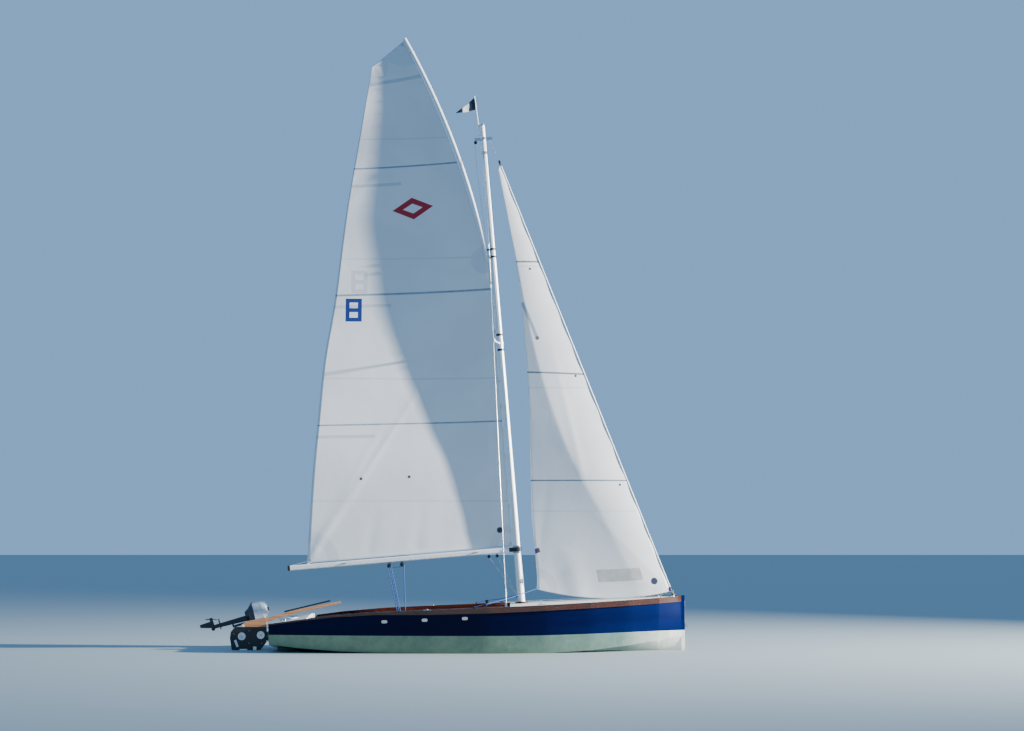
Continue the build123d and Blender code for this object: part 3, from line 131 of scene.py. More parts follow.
def gloss_enamel():
    # brushed and rubbed gloss enamel on plywood: deep blue over an off-white boot top and bottom,
    # a little uneven in gloss, with a faint weed line where the water laps
    made, tree, coords, shader = begin("gloss_enamel")
    place = add(tree, "SeparateXYZ", {"Vector": coords})
    edge = add(
        tree,
        "MapRange",
        {"Value": place.outputs["X"], "From Min": 0.3, "From Max": 3.0, "To Min": 0.250, "To Max": 0.290},
        interpolation_type="SMOOTHSTEP",
    )
    above = add(tree, "Math", {0: place.outputs["Z"], 1: edge.outputs["Result"]}, operation="GREATER_THAN")
    long_streaks = add(
        tree, "Mapping", {"Vector": coords, "Scale": (per(2500), per(2500), per(300))}, vector_type="POINT"
    )
    fade = add(tree, "TexNoise", {"Vector": long_streaks.outputs["Vector"], "Scale": 1.0, "Detail": 4.0})
    # painted light: the blue is made lighter towards the bow, as a painted sunlit bow, over the random fade
    forward = add(
        tree, "MapRange", {"Value": place.outputs["X"], "From Min": 0.0, "From Max": 3.0, "To Min": -0.1, "To Max": 0.5}
    )
    fade_and_painted_bow_light = add(tree, "Math", {0: fade.outputs["Fac"], 1: forward.outputs["Result"]}, operation="ADD")
    blue = add(
        tree, "ValToRGB", {"Fac": fade_and_painted_bow_light.outputs["Value"]}, stops=((0.3, "000329"), (0.6, "000633"), (0.95, "001449"))
    )
    scuff = add(tree, "TexNoise", {"Vector": coords, "Scale": per(120), "Detail": 8.0, "Roughness": 0.7})
    # painted shade and a painted green water reflection: the white is darkened and greened aft and amidships, and left
    # bright towards the bow as a painted sunlit bow
    along = add(
        tree, "MapRange", {"Value": place.outputs["X"], "From Min": -3.0, "From Max": 3.0, "To Min": 0.0, "To Max": 1.0}
    )
    painted_boot_shade_and_water_reflection = add(
        tree,
        "ValToRGB",
        {"Fac": along.outputs["Result"]},
        stops=((0.10, "8a9f84"), (0.55, "627d70"), (0.84, "6c8781"), (0.97, "d4d8d2")),
    )
    patches = add(tree, "ValToRGB", {"Fac": scuff.outputs["Fac"]}, stops=((0.35, "dfe3df"), (0.65, "ffffff")))
    white = add(
        tree,
        "Mix",
        {0: 1.0, 6: painted_boot_shade_and_water_reflection.outputs["Color"], 7: patches.outputs["Color"]},
        data_type="RGBA",
        blend_type="MULTIPLY",
    )
    lap = add(
        tree,
        "MapRange",
        {"Value": place.outputs["Z"], "From Min": 0.075, "From Max": -0.02, "To Min": 0.0, "To Max": 0.75},
        interpolation_type="SMOOTHSTEP",
    )
    lap_broken = add(tree, "Math", {0: lap.outputs["Result"], 1: scuff.outputs["Fac"]}, operation="MULTIPLY")
    weed_line_and_painted_shade = add(
        tree,
        "Mix",
        {0: lap_broken.outputs["Value"], 6: white.outputs[2], 7: linear("5d6d4c")},
        data_type="RGBA",
    )
    colour = add(
        tree, "Mix", {0: above.outputs["Value"], 6: weed_line_and_painted_shade.outputs[2], 7: blue.outputs["Color"]}, data_type="RGBA"
    )
    tree.links.new(colour.outputs[2], shader.inputs["Base Color"])
    gloss = add(
        tree,
        "MapRange",
        {"Value": scuff.outputs["Fac"], "From Min": 0.3, "From Max": 0.7, "To Min": 0.06, "To Max": 0.11},
    )
    tree.links.new(gloss.outputs["Result"], shader.inputs["Roughness"])
    # far below a real paint's 0.5, because the pale floor and sky would lighten the blue
    shader.inputs["Specular IOR Level"].default_value = 0.08
    # the planking's slight unfairness, a hand's breadth across
    fair = add(tree, "TexNoise", {"Vector": coords, "Scale": per(260), "Detail": 2.0})
    brush = add(tree, "TexNoise", {"Vector": long_streaks.outputs["Vector"], "Scale": 60.0, "Detail": 2.0})
    low = add(tree, "Bump", {"Height": fair.outputs["Fac"], "Strength": 0.25, "Distance": 0.004})
    fine = add(
        tree,
        "Bump",
        {"Height": brush.outputs["Fac"], "Strength": 0.08, "Distance": 0.001, "Normal": low.outputs["Normal"]},
    )
    tree.links.new(fine.outputs["Normal"], shader.inputs["Normal"])
    return made


def varnished_wood(name, light, middle, dark, grain_mm, gloss=0.09):
    # straight-grained hardwood under gloss varnish: long growth bands, fine pores along the grain
    made, tree, coords, shader = begin(name)
    run = add(
        tree, "Mapping", {"Vector": coords, "Scale": (per(1400), per(grain_mm), per(grain_mm))}, vector_type="POINT"
    )
    bands = add(
        tree,
        "TexNoise",
        {"Vector": run.outputs["Vector"], "Scale": 1.0, "Detail": 5.0, "Roughness": 0.55, "Distortion": 0.6},
    )
    colour = add(
        tree,
        "ValToRGB",
        {"Fac": bands.outputs["Fac"]},
        stops=((0.28, dark), (0.5, middle), (0.74, light)),
    )
    pore_run = add(
        tree, "Mapping", {"Vector": coords, "Scale": (per(60), per(1.6), per(1.6))}, vector_type="POINT"
    )
    pores = add(tree, "TexNoise", {"Vector": pore_run.outputs["Vector"], "Scale": 1.0, "Detail": 2.0})
    pore_dark = add(
        tree,
        "MapRange",
        {"Value": pores.outputs["Fac"], "From Min": 0.62, "From Max": 0.72, "To Min": 0.0, "To Max": 0.5},
    )
    body = add(
        tree,
        "Mix",
        {0: pore_dark.outputs["Result"], 6: colour.outputs["Color"], 7: linear(dark)},
        data_type="RGBA",
    )
    tree.links.new(body.outputs[2], shader.inputs["Base Color"])
    worn = add(tree, "TexNoise", {"Vector": coords, "Scale": per(90), "Detail": 6.0})
    rough = add(
        tree,
        "MapRange",
        {"Value": worn.outputs["Fac"], "From Min": 0.35, "From Max": 0.75, "To Min": gloss, "To Max": gloss + 0.08},
    )
    tree.links.new(rough.outputs["Result"], shader.inputs["Roughness"])
    shader.inputs["Coat Weight"].default_value = 0.25
    shader.inputs["Coat Roughness"].default_value = 0.06
    bump = add(tree, "Bump", {"Height": pores.outputs["Fac"], "Strength": 0.15, "Distance": 0.0006})
    tree.links.new(bump.outputs["Normal"], shader.inputs["Normal"])
    return made


def deck_paint():
    # satin deck paint with sand cast into it underfoot: off-white, chalky, a little dirty
    made, tree, coords, shader = begin("satin_deck_paint")
    dirt = add(tree, "TexNoise", {"Vector": coords, "Scale": per(220), "Detail": 7.0, "Roughness": 0.65})
    colour = add(
        tree, "ValToRGB", {"Fac": dirt.outputs["Fac"]}, stops=((0.3, "b9bbb4"), (0.62, "d8d9d3"))
    )
    tree.links.new(colour.outputs["Color"], shader.inputs["Base Color"])
    shader.inputs["Roughness"].default_value = 0.55
    # the sand is half a millimetre; drawn at 5 mm so that it shows
    sand = add(tree, "TexVoronoi", {"Vector": coords, "Scale": per(5)})
    bump = add(tree, "Bump", {"Height": sand.outputs["Distance"], "Strength": 0.2, "Distance": 0.0008})
    tree.links.new(bump.outputs["Normal"], shader.inputs["Normal"])
    return made


def bare_boards():
    # oiled softwood boards trodden grey along their middles
    made, tree, coords, shader = begin("oiled_larch")
    run = add(tree, "Mapping", {"Vector": coords, "Scale": (per(900), per(11), per(11))}, vector_type="POINT")
    bands = add(tree, "TexNoise", {"Vector": run.outputs["Vector"], "Scale": 1.0, "Detail": 6.0, "Distortion": 0.8})
    wood = add(
        tree, "ValToRGB", {"Fac": bands.outputs["Fac"]}, stops=((0.3, "6b4a2c"), (0.55, "9a7347"), (0.75, "b08a5c"))
    )
    tread = add(tree, "TexNoise", {"Vector": coords, "Scale": per(350), "Detail": 5.0})
    grey = add(
        tree,
        "MapRange",
        {"Value": tread.outputs["Fac"], "From Min": 0.4, "From Max": 0.7, "To Min": 0.0, "To Max": 0.6},
    )
    mixed = add(
        tree, "Mix", {0: grey.outputs["Result"], 6: wood.outputs["Color"], 7: linear("8d8473")}, data_type="RGBA"
    )
    tree.links.new(mixed.outputs[2], shader.inputs["Base Color"])
    shader.inputs["Roughness"].default_value = 0.62
    bump = add(tree, "Bump", {"Height": bands.outputs["Fac"], "Strength": 0.35, "Distance": 0.001})
    tree.links.new(bump.outputs["Normal"], shader.inputs["Normal"])
    return made


def metal(name, light, dark, rough_low, rough_high, run_mm, bare=1.0):
    # bare or anodised metal: drawn or turned, so its marks run one way, and its gloss is uneven;
    # a thick anodised film scatters light itself, so such metal is less than bare
    made, tree, coords, shader = begin(name)
    run = add(tree, "Mapping", {"Vector": coords, "Scale": tuple(per(size) for size in run_mm)}, vector_type="POINT")
    marks = add(tree, "TexNoise", {"Vector": run.outputs["Vector"], "Scale": 1.0, "Detail": 4.0})
    colour = add(tree, "ValToRGB", {"Fac": marks.outputs["Fac"]}, stops=((0.3, dark), (0.7, light)))
    tree.links.new(colour.outputs["Color"], shader.inputs["Base Color"])
    rough = add(
        tree,
        "MapRange",
        {"Value": marks.outputs["Fac"], "From Min": 0.3, "From Max": 0.7, "To Min": rough_low, "To Max": rough_high},
    )
    tree.links.new(rough.outputs["Result"], shader.inputs["Roughness"])
    shader.inputs["Metallic"].default_value = bare
    bump = add(tree, "Bump", {"Height": marks.outputs["Fac"], "Strength": 0.05, "Distance": 0.0005})
    tree.links.new(bump.outputs["Normal"], shader.inputs["Normal"])
    return made


def spray(tree, shader, mottle, rough, coat):
    """Gives sprayed paint its uneven gloss, clear coat and slight orange peel from its mottling."""
    uneven = add(
        tree,
        "MapRange",
        {"Value": mottle, "From Min": 0.3, "From Max": 0.7, "To Min": rough, "To Max": rough + 0.12},
    )
    tree.links.new(uneven.outputs["Result"], shader.inputs["Roughness"])
    shader.inputs["Coat Weight"].default_value = coat
    shader.inputs["Coat Roughness"].default_value = 0.08
    bump = add(tree, "Bump", {"Height": mottle, "Strength": 0.06, "Distance": 0.0008})
    tree.links.new(bump.outputs["Normal"], shader.inputs["Normal"])


def painted(name, light, dark, rough, chip=None, coat=0.0):
    # sprayed paint on metal: even, with faint mottling, and bare chips where a chip colour is given
    made, tree, coords, shader = begin(name)
    mottle = add(tree, "TexNoise", {"Vector": coords, "Scale": per(40), "Detail": 6.0})
    colour = add(tree, "ValToRGB", {"Fac": mottle.outputs["Fac"]}, stops=((0.35, dark), (0.65, light)))
    result = colour.outputs["Color"]
    if chip:
        spots = add(tree, "TexNoise", {"Vector": coords, "Scale": per(9), "Detail": 3.0})
        bare = add(
            tree,
            "MapRange",
            {"Value": spots.outputs["Fac"], "From Min": 0.69, "From Max": 0.72, "To Min": 0.0, "To Max": 1.0},
        )
        mixed = add(tree, "Mix", {0: bare.outputs["Result"], 6: result, 7: linear(chip)}, data_type="RGBA")
        result = mixed.outputs[2]
    tree.links.new(result, shader.inputs["Base Color"])
    spray(tree, shader, mottle.outputs["Fac"], rough, coat)
    return made


def cowl_enamel():
    # sprayed enamel on a moulded cowl: a dark blue-grey skirt under a pale silver dome
    made, tree, coords, shader = begin("two_tone_cowl_enamel")
    up = add(tree, "VectorMath", {0: coords, 1: tuple(motor_up)}, operation="DOT_PRODUCT")
    edge = motor_pin.dot(motor_up) + 0.150
    dome_part = add(tree, "Math", {0: up.outputs["Value"], 1: edge}, operation="GREATER_THAN")
    mottle = add(tree, "TexNoise", {"Vector": coords, "Scale": per(35), "Detail": 6.0})
    dark = add(tree, "ValToRGB", {"Fac": mottle.outputs["Fac"]}, stops=((0.35, "1d2634"), (0.65, "283446")))
    pale = add(tree, "ValToRGB", {"Fac": mottle.outputs["Fac"]}, stops=((0.35, "d6dbe0"), (0.65, "e9edf0")))
    colour = add(
        tree,
        "Mix",
        {0: dome_part.outputs["Value"], 6: dark.outputs["Color"], 7: pale.outputs["Color"]},
        data_type="RGBA",
    )
    tree.links.new(colour.outputs[2], shader.inputs["Base Color"])
    spray(tree, shader, mottle.outputs["Fac"], 0.2, 0.4)
    return made


def lay_mark(tree, coords, below, shape, place, size, turn, code):
    """Lays a box, a disc or a lozenge over a colour, in the sail's upright plane."""
    local = add(
        tree,
        "Mapping",
        {
            "Vector": coords,
            "Location": (place[0], 0, place[1]),
            "Rotation": (0, -math.radians(turn), 0),
            "Scale": (size[0], 1000, size[1]),
        },
        vector_type="TEXTURE",
    )
    if shape == "disc":
        reach = add(tree, "VectorMath", {0: local.outputs["Vector"]}, operation="LENGTH").outputs["Value"]
    else:
        away = add(tree, "VectorMath", {0: local.outputs["Vector"]}, operation="ABSOLUTE")
        sides = add(tree, "SeparateXYZ", {"Vector": away.outputs["Vector"]})
        join = "MAXIMUM" if shape == "box" else "ADD"
        reach = add(tree, "Math", {0: sides.outputs["X"], 1: sides.outputs["Z"]}, operation=join).outputs["Value"]
    inside = add(tree, "Math", {0: reach, 1: 0.5}, operation="LESS_THAN")
    mixed = add(tree, "Mix", {0: inside.outputs["Value"], 6: below, 7: linear(code)}, data_type="RGBA")
    return mixed.outputs[2]


def sail_weave(name, tones, glow, seam_every, first_seam, marks):
    # woven polyester sailcloth, resin-finished: crisp, faintly grey-blue, lets a little light through;
    # cross-cut panels joined by a doubled, stitched seam, and a crackle of small creases
    made, tree, coords, shader = begin(name)
    cloth = add(tree, "UVMap", uv_map="cloth").outputs["UV"]
    place = add(tree, "SeparateXYZ", {"Vector": cloth})
    wide = add(tree, "TexNoise", {"Vector": cloth, "Scale": per(900), "Detail": 3.0}, noise_dimensions="2D")
    tone = add(tree, "ValToRGB", {"Fac": wide.outputs["Fac"]}, stops=((0.35, tones[0]), (0.65, tones[1])))
    shifted = add(tree, "Math", {0: place.outputs["Y"], 1: first_seam}, operation="SUBTRACT")
    repeat = add(tree, "Math", {0: shifted.outputs["Value"], 1: seam_every}, operation="PINGPONG")
    # the seam's overlap is 22 mm; PINGPONG is nought in its middle
    lap = add(tree, "Math", {0: repeat.outputs["Value"], 1: 0.011}, operation="LESS_THAN")
    seam = add(
        tree,
        "Mix",
        {0: lap.outputs["Value"], 6: tone.outputs["Color"], 7: linear(tones[2])},
        data_type="RGBA",
    )
    colour = seam.outputs[2]
    for mark in marks:
        colour = lay_mark(tree, coords, colour, *mark)
    tree.links.new(colour, shader.inputs["Base Color"])
    shader.inputs["Roughness"].default_value = 0.5
    shader.inputs["Sheen Weight"].default_value = 0.1
    shader.inputs["Sheen Roughness"].default_value = 0.4
    creases = add(
        tree, "TexNoise", {"Vector": cloth, "Scale": per(160), "Detail": 5.0, "Distortion": 1.2}, noise_dimensions="2D"
    )
    crackle = add(tree, "Bump", {"Height": creases.outputs["Fac"], "Strength": 0.25, "Distance": 0.003})
    # the weave is 0.4 mm; drawn about 8 mm apart so that a close view shows it
    warp = add(
        tree, "TexWave", {"Vector": cloth, "Scale": per(4) / (2 * math.pi)}, bands_direction="X", wave_type="BANDS"
    )
    weft = add(
        tree, "TexWave", {"Vector": cloth, "Scale": per(4) / (2 * math.pi)}, bands_direction="Y", wave_type="BANDS"
    )
    threads = add(tree, "Math", {0: warp.outputs["Fac"], 1: weft.outputs["Fac"]}, operation="MULTIPLY")
    weave = add(
        tree,
        "Bump",
        {"Height": threads.outputs["Value"], "Strength": 0.1, "Distance": 0.0004, "Normal": crackle.outputs["Normal"]},
    )
    tree.links.new(weave.outputs["Normal"], shader.inputs["Normal"])
    # light from behind comes through the cloth
    through = add(tree, "BsdfTranslucent", {"Color": linear(tones[1]), "Normal": crackle.outputs["Normal"]})
    both = add(tree, "MixShader", {0: glow, 1: shader.outputs["BSDF"], 2: through.outputs["BSDF"]})
    output = next(node for node in tree.nodes if node.type == "OUTPUT_MATERIAL")
    tree.links.new(both.outputs["Shader"], output.inputs["Surface"])
    return made


def plain_cloth(name, light, dark, thread_mm=4):
    # a flat-woven tape or bunting
    made, tree, coords, shader = begin(name)
    patchy = add(tree, "TexNoise", {"Vector": coords, "Scale": per(70), "Detail": 5.0})
    colour = add(tree, "ValToRGB", {"Fac": patchy.outputs["Fac"]}, stops=((0.35, dark), (0.65, light)))
    tree.links.new(colour.outputs["Color"], shader.inputs["Base Color"])
    shader.inputs["Roughness"].default_value = 0.7
    shader.inputs["Sheen Weight"].default_value = 0.2
    threads = add(tree, "TexNoise", {"Vector": coords, "Scale": per(thread_mm), "Detail": 1.0})
    bump = add(tree, "Bump", {"Height": threads.outputs["Fac"], "Strength": 0.3, "Distance": 0.0005})
    tree.links.new(bump.outputs["Normal"], shader.inputs["Normal"])
    return made


def clear_film():
    # clear vinyl window film: thin, glossy, slightly milky, with soft ripples
    made, tree, coords, shader = begin("clear_vinyl")
    ripple = add(tree, "TexNoise", {"Vector": coords, "Scale": per(110), "Detail": 3.0})
    tint = add(tree, "ValToRGB", {"Fac": ripple.outputs["Fac"]}, stops=((0.3, "d9d5c8"), (0.7, "efece2")))
    tree.links.new(tint.outputs["Color"], shader.inputs["Base Color"])
    shader.inputs["Roughness"].default_value = 0.12
    shader.inputs["IOR"].default_value = 1.5
    shader.inputs["Alpha"].default_value = 0.42
    bump = add(tree, "Bump", {"Height": ripple.outputs["Fac"], "Strength": 0.5, "Distance": 0.006})
    tree.links.new(bump.outputs["Normal"], shader.inputs["Normal"])
    return made


def plastic(name, light, dark, rough):
    # injection-moulded nylon or acetal: dense, slightly waxy
    made, tree, coords, shader = begin(name)
    mottle = add(tree, "TexNoise", {"Vector": coords, "Scale": per(15), "Detail": 4.0})
    colour = add(tree, "ValToRGB", {"Fac": mottle.outputs["Fac"]}, stops=((0.3, dark), (0.7, light)))
    tree.links.new(colour.outputs["Color"], shader.inputs["Base Color"])
    shader.inputs["Roughness"].default_value = rough
    shader.inputs["IOR"].default_value = 1.48
    bump = add(tree, "Bump", {"Height": mottle.outputs["Fac"], "Strength": 0.1, "Distance": 0.0004})
    tree.links.new(bump.outputs["Normal"], shader.inputs["Normal"])
    return made


def braid(name, light, dark):
    # braided polyester rope: diagonal strands, a few millimetres apart on the real one, and drawn
    # about 35 mm apart along the rope so that they show
    made, tree, coords, shader = begin(name)
    strands = add(
        tree,
        "TexWave",
        {"Vector": coords, "Scale": per(9) / (2 * math.pi), "Distortion": 2.0},
        bands_direction="DIAGONAL",
    )
    colour = add(tree, "ValToRGB", {"Fac": strands.outputs["Fac"]}, stops=((0.2, dark), (0.8, light)))
    tree.links.new(colour.outputs["Color"], shader.inputs["Base Color"])
    shader.inputs["Roughness"].default_value = 0.75
    bump = add(tree, "Bump", {"Height": strands.outputs["Fac"], "Strength": 0.4, "Distance": 0.001})
    tree.links.new(bump.outputs["Normal"], shader.inputs["Normal"])
    return made


# sail marks: shape, place along the boat and up, size, turn, colour
# the number is a plain figure of five bars, and its fellow on the far side shows faintly through: painted shade, a
# faint grey copy of the figure drawn on this cloth
main_marks = [
    ("disc", (-2.53, 1.26), (0.95, 0.95), 0, "dadfe4"),
    ("disc", (-2.53, 1.26), (0.62, 0.62), 0, "e6eaed"),
    ("disc", (0.48, 1.50), (0.66, 0.66), 0, "dadfe4"),
    ("disc", (0.48, 1.50), (0.42, 0.42), 0, "e6eaed"),
    ("disc", (-1.15, 9.13), (0.80, 0.80), 0, "dadfe4"),
    ("disc", (-1.65, 8.73), (0.50, 0.50), 0, "dadfe4"),
    ("disc", (0.06, 5.76), (0.40, 0.40), 0, "dadfe4"),
    ("box", (-1.29, 8.515), (0.80, 0.050), 9, "c3ccd4"),
    ("box", (-1.57, 6.93), (0.74, 0.046), 3, "c9d1d8"),
    ("box", (-1.78, 5.09), (0.88, 0.046), 2, "c9d1d8"),
    ("box", (-2.00, 3.12), (0.88, 0.046), 1, "c9d1d8"),
    ("lozenge", (-1.02, 6.57), (0.62, 0.33), 6, "b3102c"),
    ("lozenge", (-1.02, 6.57), (0.30, 0.15), 6, "e6e9ec"),
    ("disc", (0.295, 1.743), (0.085, 0.085), 0, "27313f"),
    ("disc", (-1.754, 2.496), (0.045, 0.045), 0, "3b4654"),
    ("disc", (-1.045, 2.526), (0.045, 0.045), 0, "3b4654"),
]
for middle_x, middle_z, code in ((-1.82, 5.46, "cdd3d9"), (-1.90, 5.03, "14337c")):
    for across in (-0.092, 0.092):
        main_marks.append(("box", (middle_x + across, middle_z), (0.060, 0.35), 0, code))
    for up in (-0.145, 0, 0.145):
        main_marks.append(("box", (middle_x, middle_z + up), (0.244, 0.060), 0, code))
jib_marks = [
    ("disc", (0.84, 0.88), (0.60, 0.60), 0, "dadfe4"),
    ("disc", (0.84, 0.88), (0.36, 0.36), 0, "e6eaed"),
    ("disc", (2.80, 0.86), (0.50, 0.50), 0, "dadfe4"),
    ("disc", (0.24, 7.20), (0.50, 0.50), 0, "dadfe4"),
    ("box", (0.743, 4.84), (0.59, 0.050), -67.8, "9fadb8"),
    ("disc", (0.850, 4.58), (0.060, 0.060), 0, "5b6874"),
    ("box", (0.84, 1.44), (0.09, 0.07), 20, "5a3f66"),
    ("disc", (2.557, 0.999), (0.10, 0.10), 0, "28304a"),
    ("disc", (0.742, 5.620), (0.036, 0.036), 0, "3b4654"),
    ("disc", (1.417, 4.017), (0.036, 0.036), 0, "3b4654"),
    ("disc", (2.064, 2.407), (0.036, 0.036), 0, "3b4654"),
]

# the motor's tilt pin, and which way is up and forward on the motor as it hangs tilted
motor_pin = Vector((-3.465, 0.5, 0.345))
motor_up = Vector((math.cos(math.radians(15)), 0, math.sin(math.radians(15))))
motor_front = Vector((math.sin(math.radians(15)), 0, -math.cos(math.radians(15))))

hull_enamel = gloss_enamel()
strake_varnish = varnished_wood("varnished_iroko", "55291d", "3d1d14", "26110b", 16)
bench_varnish = varnished_wood("varnished_mahogany", "a65a30", "7f3f22", "4a2013", 13)
ash_varnish = varnished_wood("varnished_ash", "e0a878", "c98b5c", "9a6238", 9, 0.14)
deck_finish = deck_paint()
floor_boards = bare_boards()
mast_metal = metal("anodised_aluminium", "eff1f2", "dfe3e6", 0.50, 0.62, (40, 40, 700), 0.4)
spar_enamel = painted("white_spar_enamel", "eef0f1", "dfe3e6", 0.22, coat=0.4)
steel = metal("polished_stainless_steel", "d6d7d8", "b4b6b8", 0.16, 0.3, (6, 6, 6))
black_nylon = plastic("black_nylon", "1d1e21", "111214", 0.42)
cheek_paint = painted("black_steel_paint", "1c1e21", "121316", 0.34, chip="6d665e")
blade_paint = painted("black_blade_paint", "22252a", "15171a", 0.4, chip="6e695f")
motor_grey = painted("dark_grey_motor_enamel", "2c3644", "212a36", 0.24, coat=0.4)
cowl_finish = cowl_enamel()
white_nylon = plastic("white_nylon", "e4e5e4", "cfd1d0", 0.4)
plate_enamel = painted("white_plate_enamel", "eceff0", "dadfe1", 0.25, chip="8f9496", coat=0.3)
motor_black = painted("black_motor_casting", "2b2f35", "1d2024", 0.38, chip="77797a")
main_cloth = sail_weave("polyester_sailcloth_main", ("e2e5e8", "eaedef", "d3d9df"), 0.07, 0.91, 0.35, main_marks)
jib_cloth = sail_weave("polyester_sailcloth_jib", ("e2e5e8", "eaedef", "d5dbe0"), 0.07, 0.91, 0.2, jib_marks)
stripe_tape = plain_cloth("grey_blue_draft_tape", "93a5b2", "7c8f9e")
jib_tape = plain_cloth("grey_jib_draft_tape", "6f8190", "5d6f7e")
sleeve_cloth = plain_cloth("white_luff_sleeve", "e9ebee", "dcdfe4")
purple_webbing = plain_cloth("purple_webbing", "53386e", "3f2a56")
window_film = clear_film()
navy_bunting = plain_cloth("navy_bunting", "1d2740", "121a2e")
white_bunting = plain_cloth("white_bunting", "eceef0", "d9dce0")
blue_rope = braid("blue_braid", "2d63b0", "163a74")
white_rope = braid("white_braid", "e4e5e2", "b8bab8")

finishes = {
    hull_enamel: "topside_port topside_starboard bottom_planking transom stem_post keel",
    strake_varnish: "rubbing_strakes coamings mast_partner outboard_pad",
    bench_varnish: "side_benches thwart centreboard",
    ash_varnish: "tiller rudder_head",
    deck_finish: "foredeck side_decks aft_deck aft_bulkhead forward_bulkhead bench_brackets centreboard_case",
    floor_boards: "floorboards floor_bearers mast_step",
    mast_metal: "mast spreaders burgee_staff",
    spar_enamel: "boom yard",
    steel: "bow_eye masthead mast_bands chainplates shrouds forestay stemhead_eye scuppers gudgeons pintles "
    "outboard_bracket",
    black_nylon: "furling_drum boom_collar boom_cap yard_parrels tiller_extension",
    cheek_paint: "rudder_cheeks",
    blade_paint: "rudder_blade",
    motor_black: "outboard_clamp outboard_swivel outboard_leg outboard_gearcase propeller",
    motor_grey: "outboard_pan",
    cowl_finish: "outboard_cowl",
    main_cloth: "mainsail",
    jib_cloth: "jib",
    navy_bunting: "burgee",
}
for finish, names in finishes.items():
    for name in names.split():
        mesh = cad[name].data
        mesh.materials.clear()
        mesh.materials.append(finish)


# ---------------------------------------------------------------- making pieces
def piece(made, name, materials, body):
    """Turns a bmesh into an object that wears its materials and rides on a body."""
    bmesh.ops.recalc_face_normals(made, faces=made.faces)
    for face in made.faces:
        face.smooth = True
    mesh = bpy.data.meshes.new(name)
    made.to_mesh(mesh)
    made.free()
    mesh.set_sharp_from_angle(angle=math.radians(38))
    for material in materials:
        mesh.materials.append(material)
    finished = bpy.data.objects.new(name, mesh)
    bpy.context.scene.collection.objects.link(finished)
    if body:
        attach(finished, body)
    return finished


def turned_to(start, end):
    """The turn and move that take the Z axis onto a line, with its middle at the line's middle."""
    start, end = Vector(start), Vector(end)
    return Matrix.Translation((start + end) / 2) @ (end - start).to_track_quat("Z", "Y").to_matrix().to_4x4()


def rod(made, start, end, radius, far_radius=None, sides=16):
    """Adds a capped round bar between two points."""
    bmesh.ops.create_cone(
        made,
        cap_ends=True,
        segments=sides,
        radius1=radius,
        radius2=radius if far_radius is None else far_radius,
        depth=(Vector(end) - Vector(start)).length,
        matrix=turned_to(start, end),
    )


def block(made, centre, size, round_off, turn=None):
    """Adds a box with its edges rounded off."""
    shape = Matrix.Translation(centre) @ (turn or Matrix.Identity(4)) @ Matrix.Diagonal((*size, 1))
    corners = bmesh.ops.create_cube(made, size=1, matrix=shape)["verts"]
    edges = list({edge for corner in corners for edge in corner.link_edges})
    bmesh.ops.bevel(
        made, geom=edges, offset=round_off, segments=3, profile=0.5, affect="EDGES", material=-1, clamp_overlap=True
    )


def lathe(made, outline, centre, axis, steps=20):
    """Adds a shape turned from (radius, height) points about an axis that starts at a centre."""
    kept = set(made.verts)
    corners = [made.verts.new((radius, 0, height)) for radius, height in outline]
    edges = [made.edges.new(pair) for pair in zip(corners, corners[1:])]
    bmesh.ops.spin(
        made, geom=corners + edges, cent=(0, 0, 0), axis=(0, 0, 1), angle=2 * math.pi, steps=steps, use_merge=True
    )
    fresh = [corner for corner in made.verts if corner not in kept]
    bmesh.ops.remove_doubles(made, verts=fresh, dist=0.000001)
    fresh = [corner for corner in made.verts if corner not in kept]
    turn = Vector(axis).to_track_quat("Z", "Y").to_matrix().to_4x4()
    bmesh.ops.transform(made, matrix=Matrix.Translation(centre) @ turn, verts=fresh)


def ring(made, centre, axis, radius, thick, steps=20):
    """Adds a round-sectioned ring about an axis."""
    turns = [index * math.pi / 4 for index in range(9)]
    lathe(made, [(radius + thick * math.cos(turn), thick * math.sin(turn)) for turn in turns], centre, axis, steps)


def dome(made, foot, up, radius, steps=10):
    """Adds a domed screw or bolt head on a surface."""
    outline = [(0, 0.5), (0.45, 0.44), (0.85, 0.22), (1, 0), (1, -0.1), (0, -0.1)]
    lathe(made, [(radius * across, radius * high) for across, high in outline], foot, up, steps)


def pulley(made, centre, across, towards, radius):
    """Adds a rope block: two domed cheeks, the sheave between them, and a shackle to what it hangs from."""
    centre, across, towards = Vector(centre), Vector(across).normalized(), Vector(towards).normalized()
    cheek = [(0, 0.42), (0.7, 0.38), (1, 0.24), (1, 0.16), (0, 0.16)]
    for way in (-1, 1):
        lathe(made, [(radius * far, radius * high) for far, high in cheek], centre, across * way)
    sheave = [(0, -0.15), (0.8, -0.15), (0.62, 0), (0.8, 0.15), (0, 0.15)]
    lathe(made, [(radius * far, radius * high) for far, high in sheave], centre, across)
    ring(made, centre + towards * radius * 1.15, across, radius * 0.38, radius * 0.1, 14)


def cleat(made, foot, along, up, long):
    """Adds a two-horned cleat."""
    foot, along, up = Vector(foot), Vector(along).normalized(), Vector(up).normalized()
    bar = foot + up * long * 0.2
    for way in (-1, 1):
        rod(made, foot + along * way * long * 0.15, bar + along * way * long * 0.1, long * 0.075, long * 0.055, 12)
        rod(made, bar, bar + along * way * long * 0.5 + up * long * 0.05, long * 0.06, long * 0.032, 12)


def faired(name, finish):
    """A merged copy of a CAD solid, so that its long panels run into each other without a step."""
    made = bmesh.new()
    made.from_mesh(cad[name].data)
    bmesh.ops.remove_doubles(made, verts=made.verts, dist=0.00002)
    finished = piece(made, name + "_faired", [finish], "hull")
    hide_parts(name)


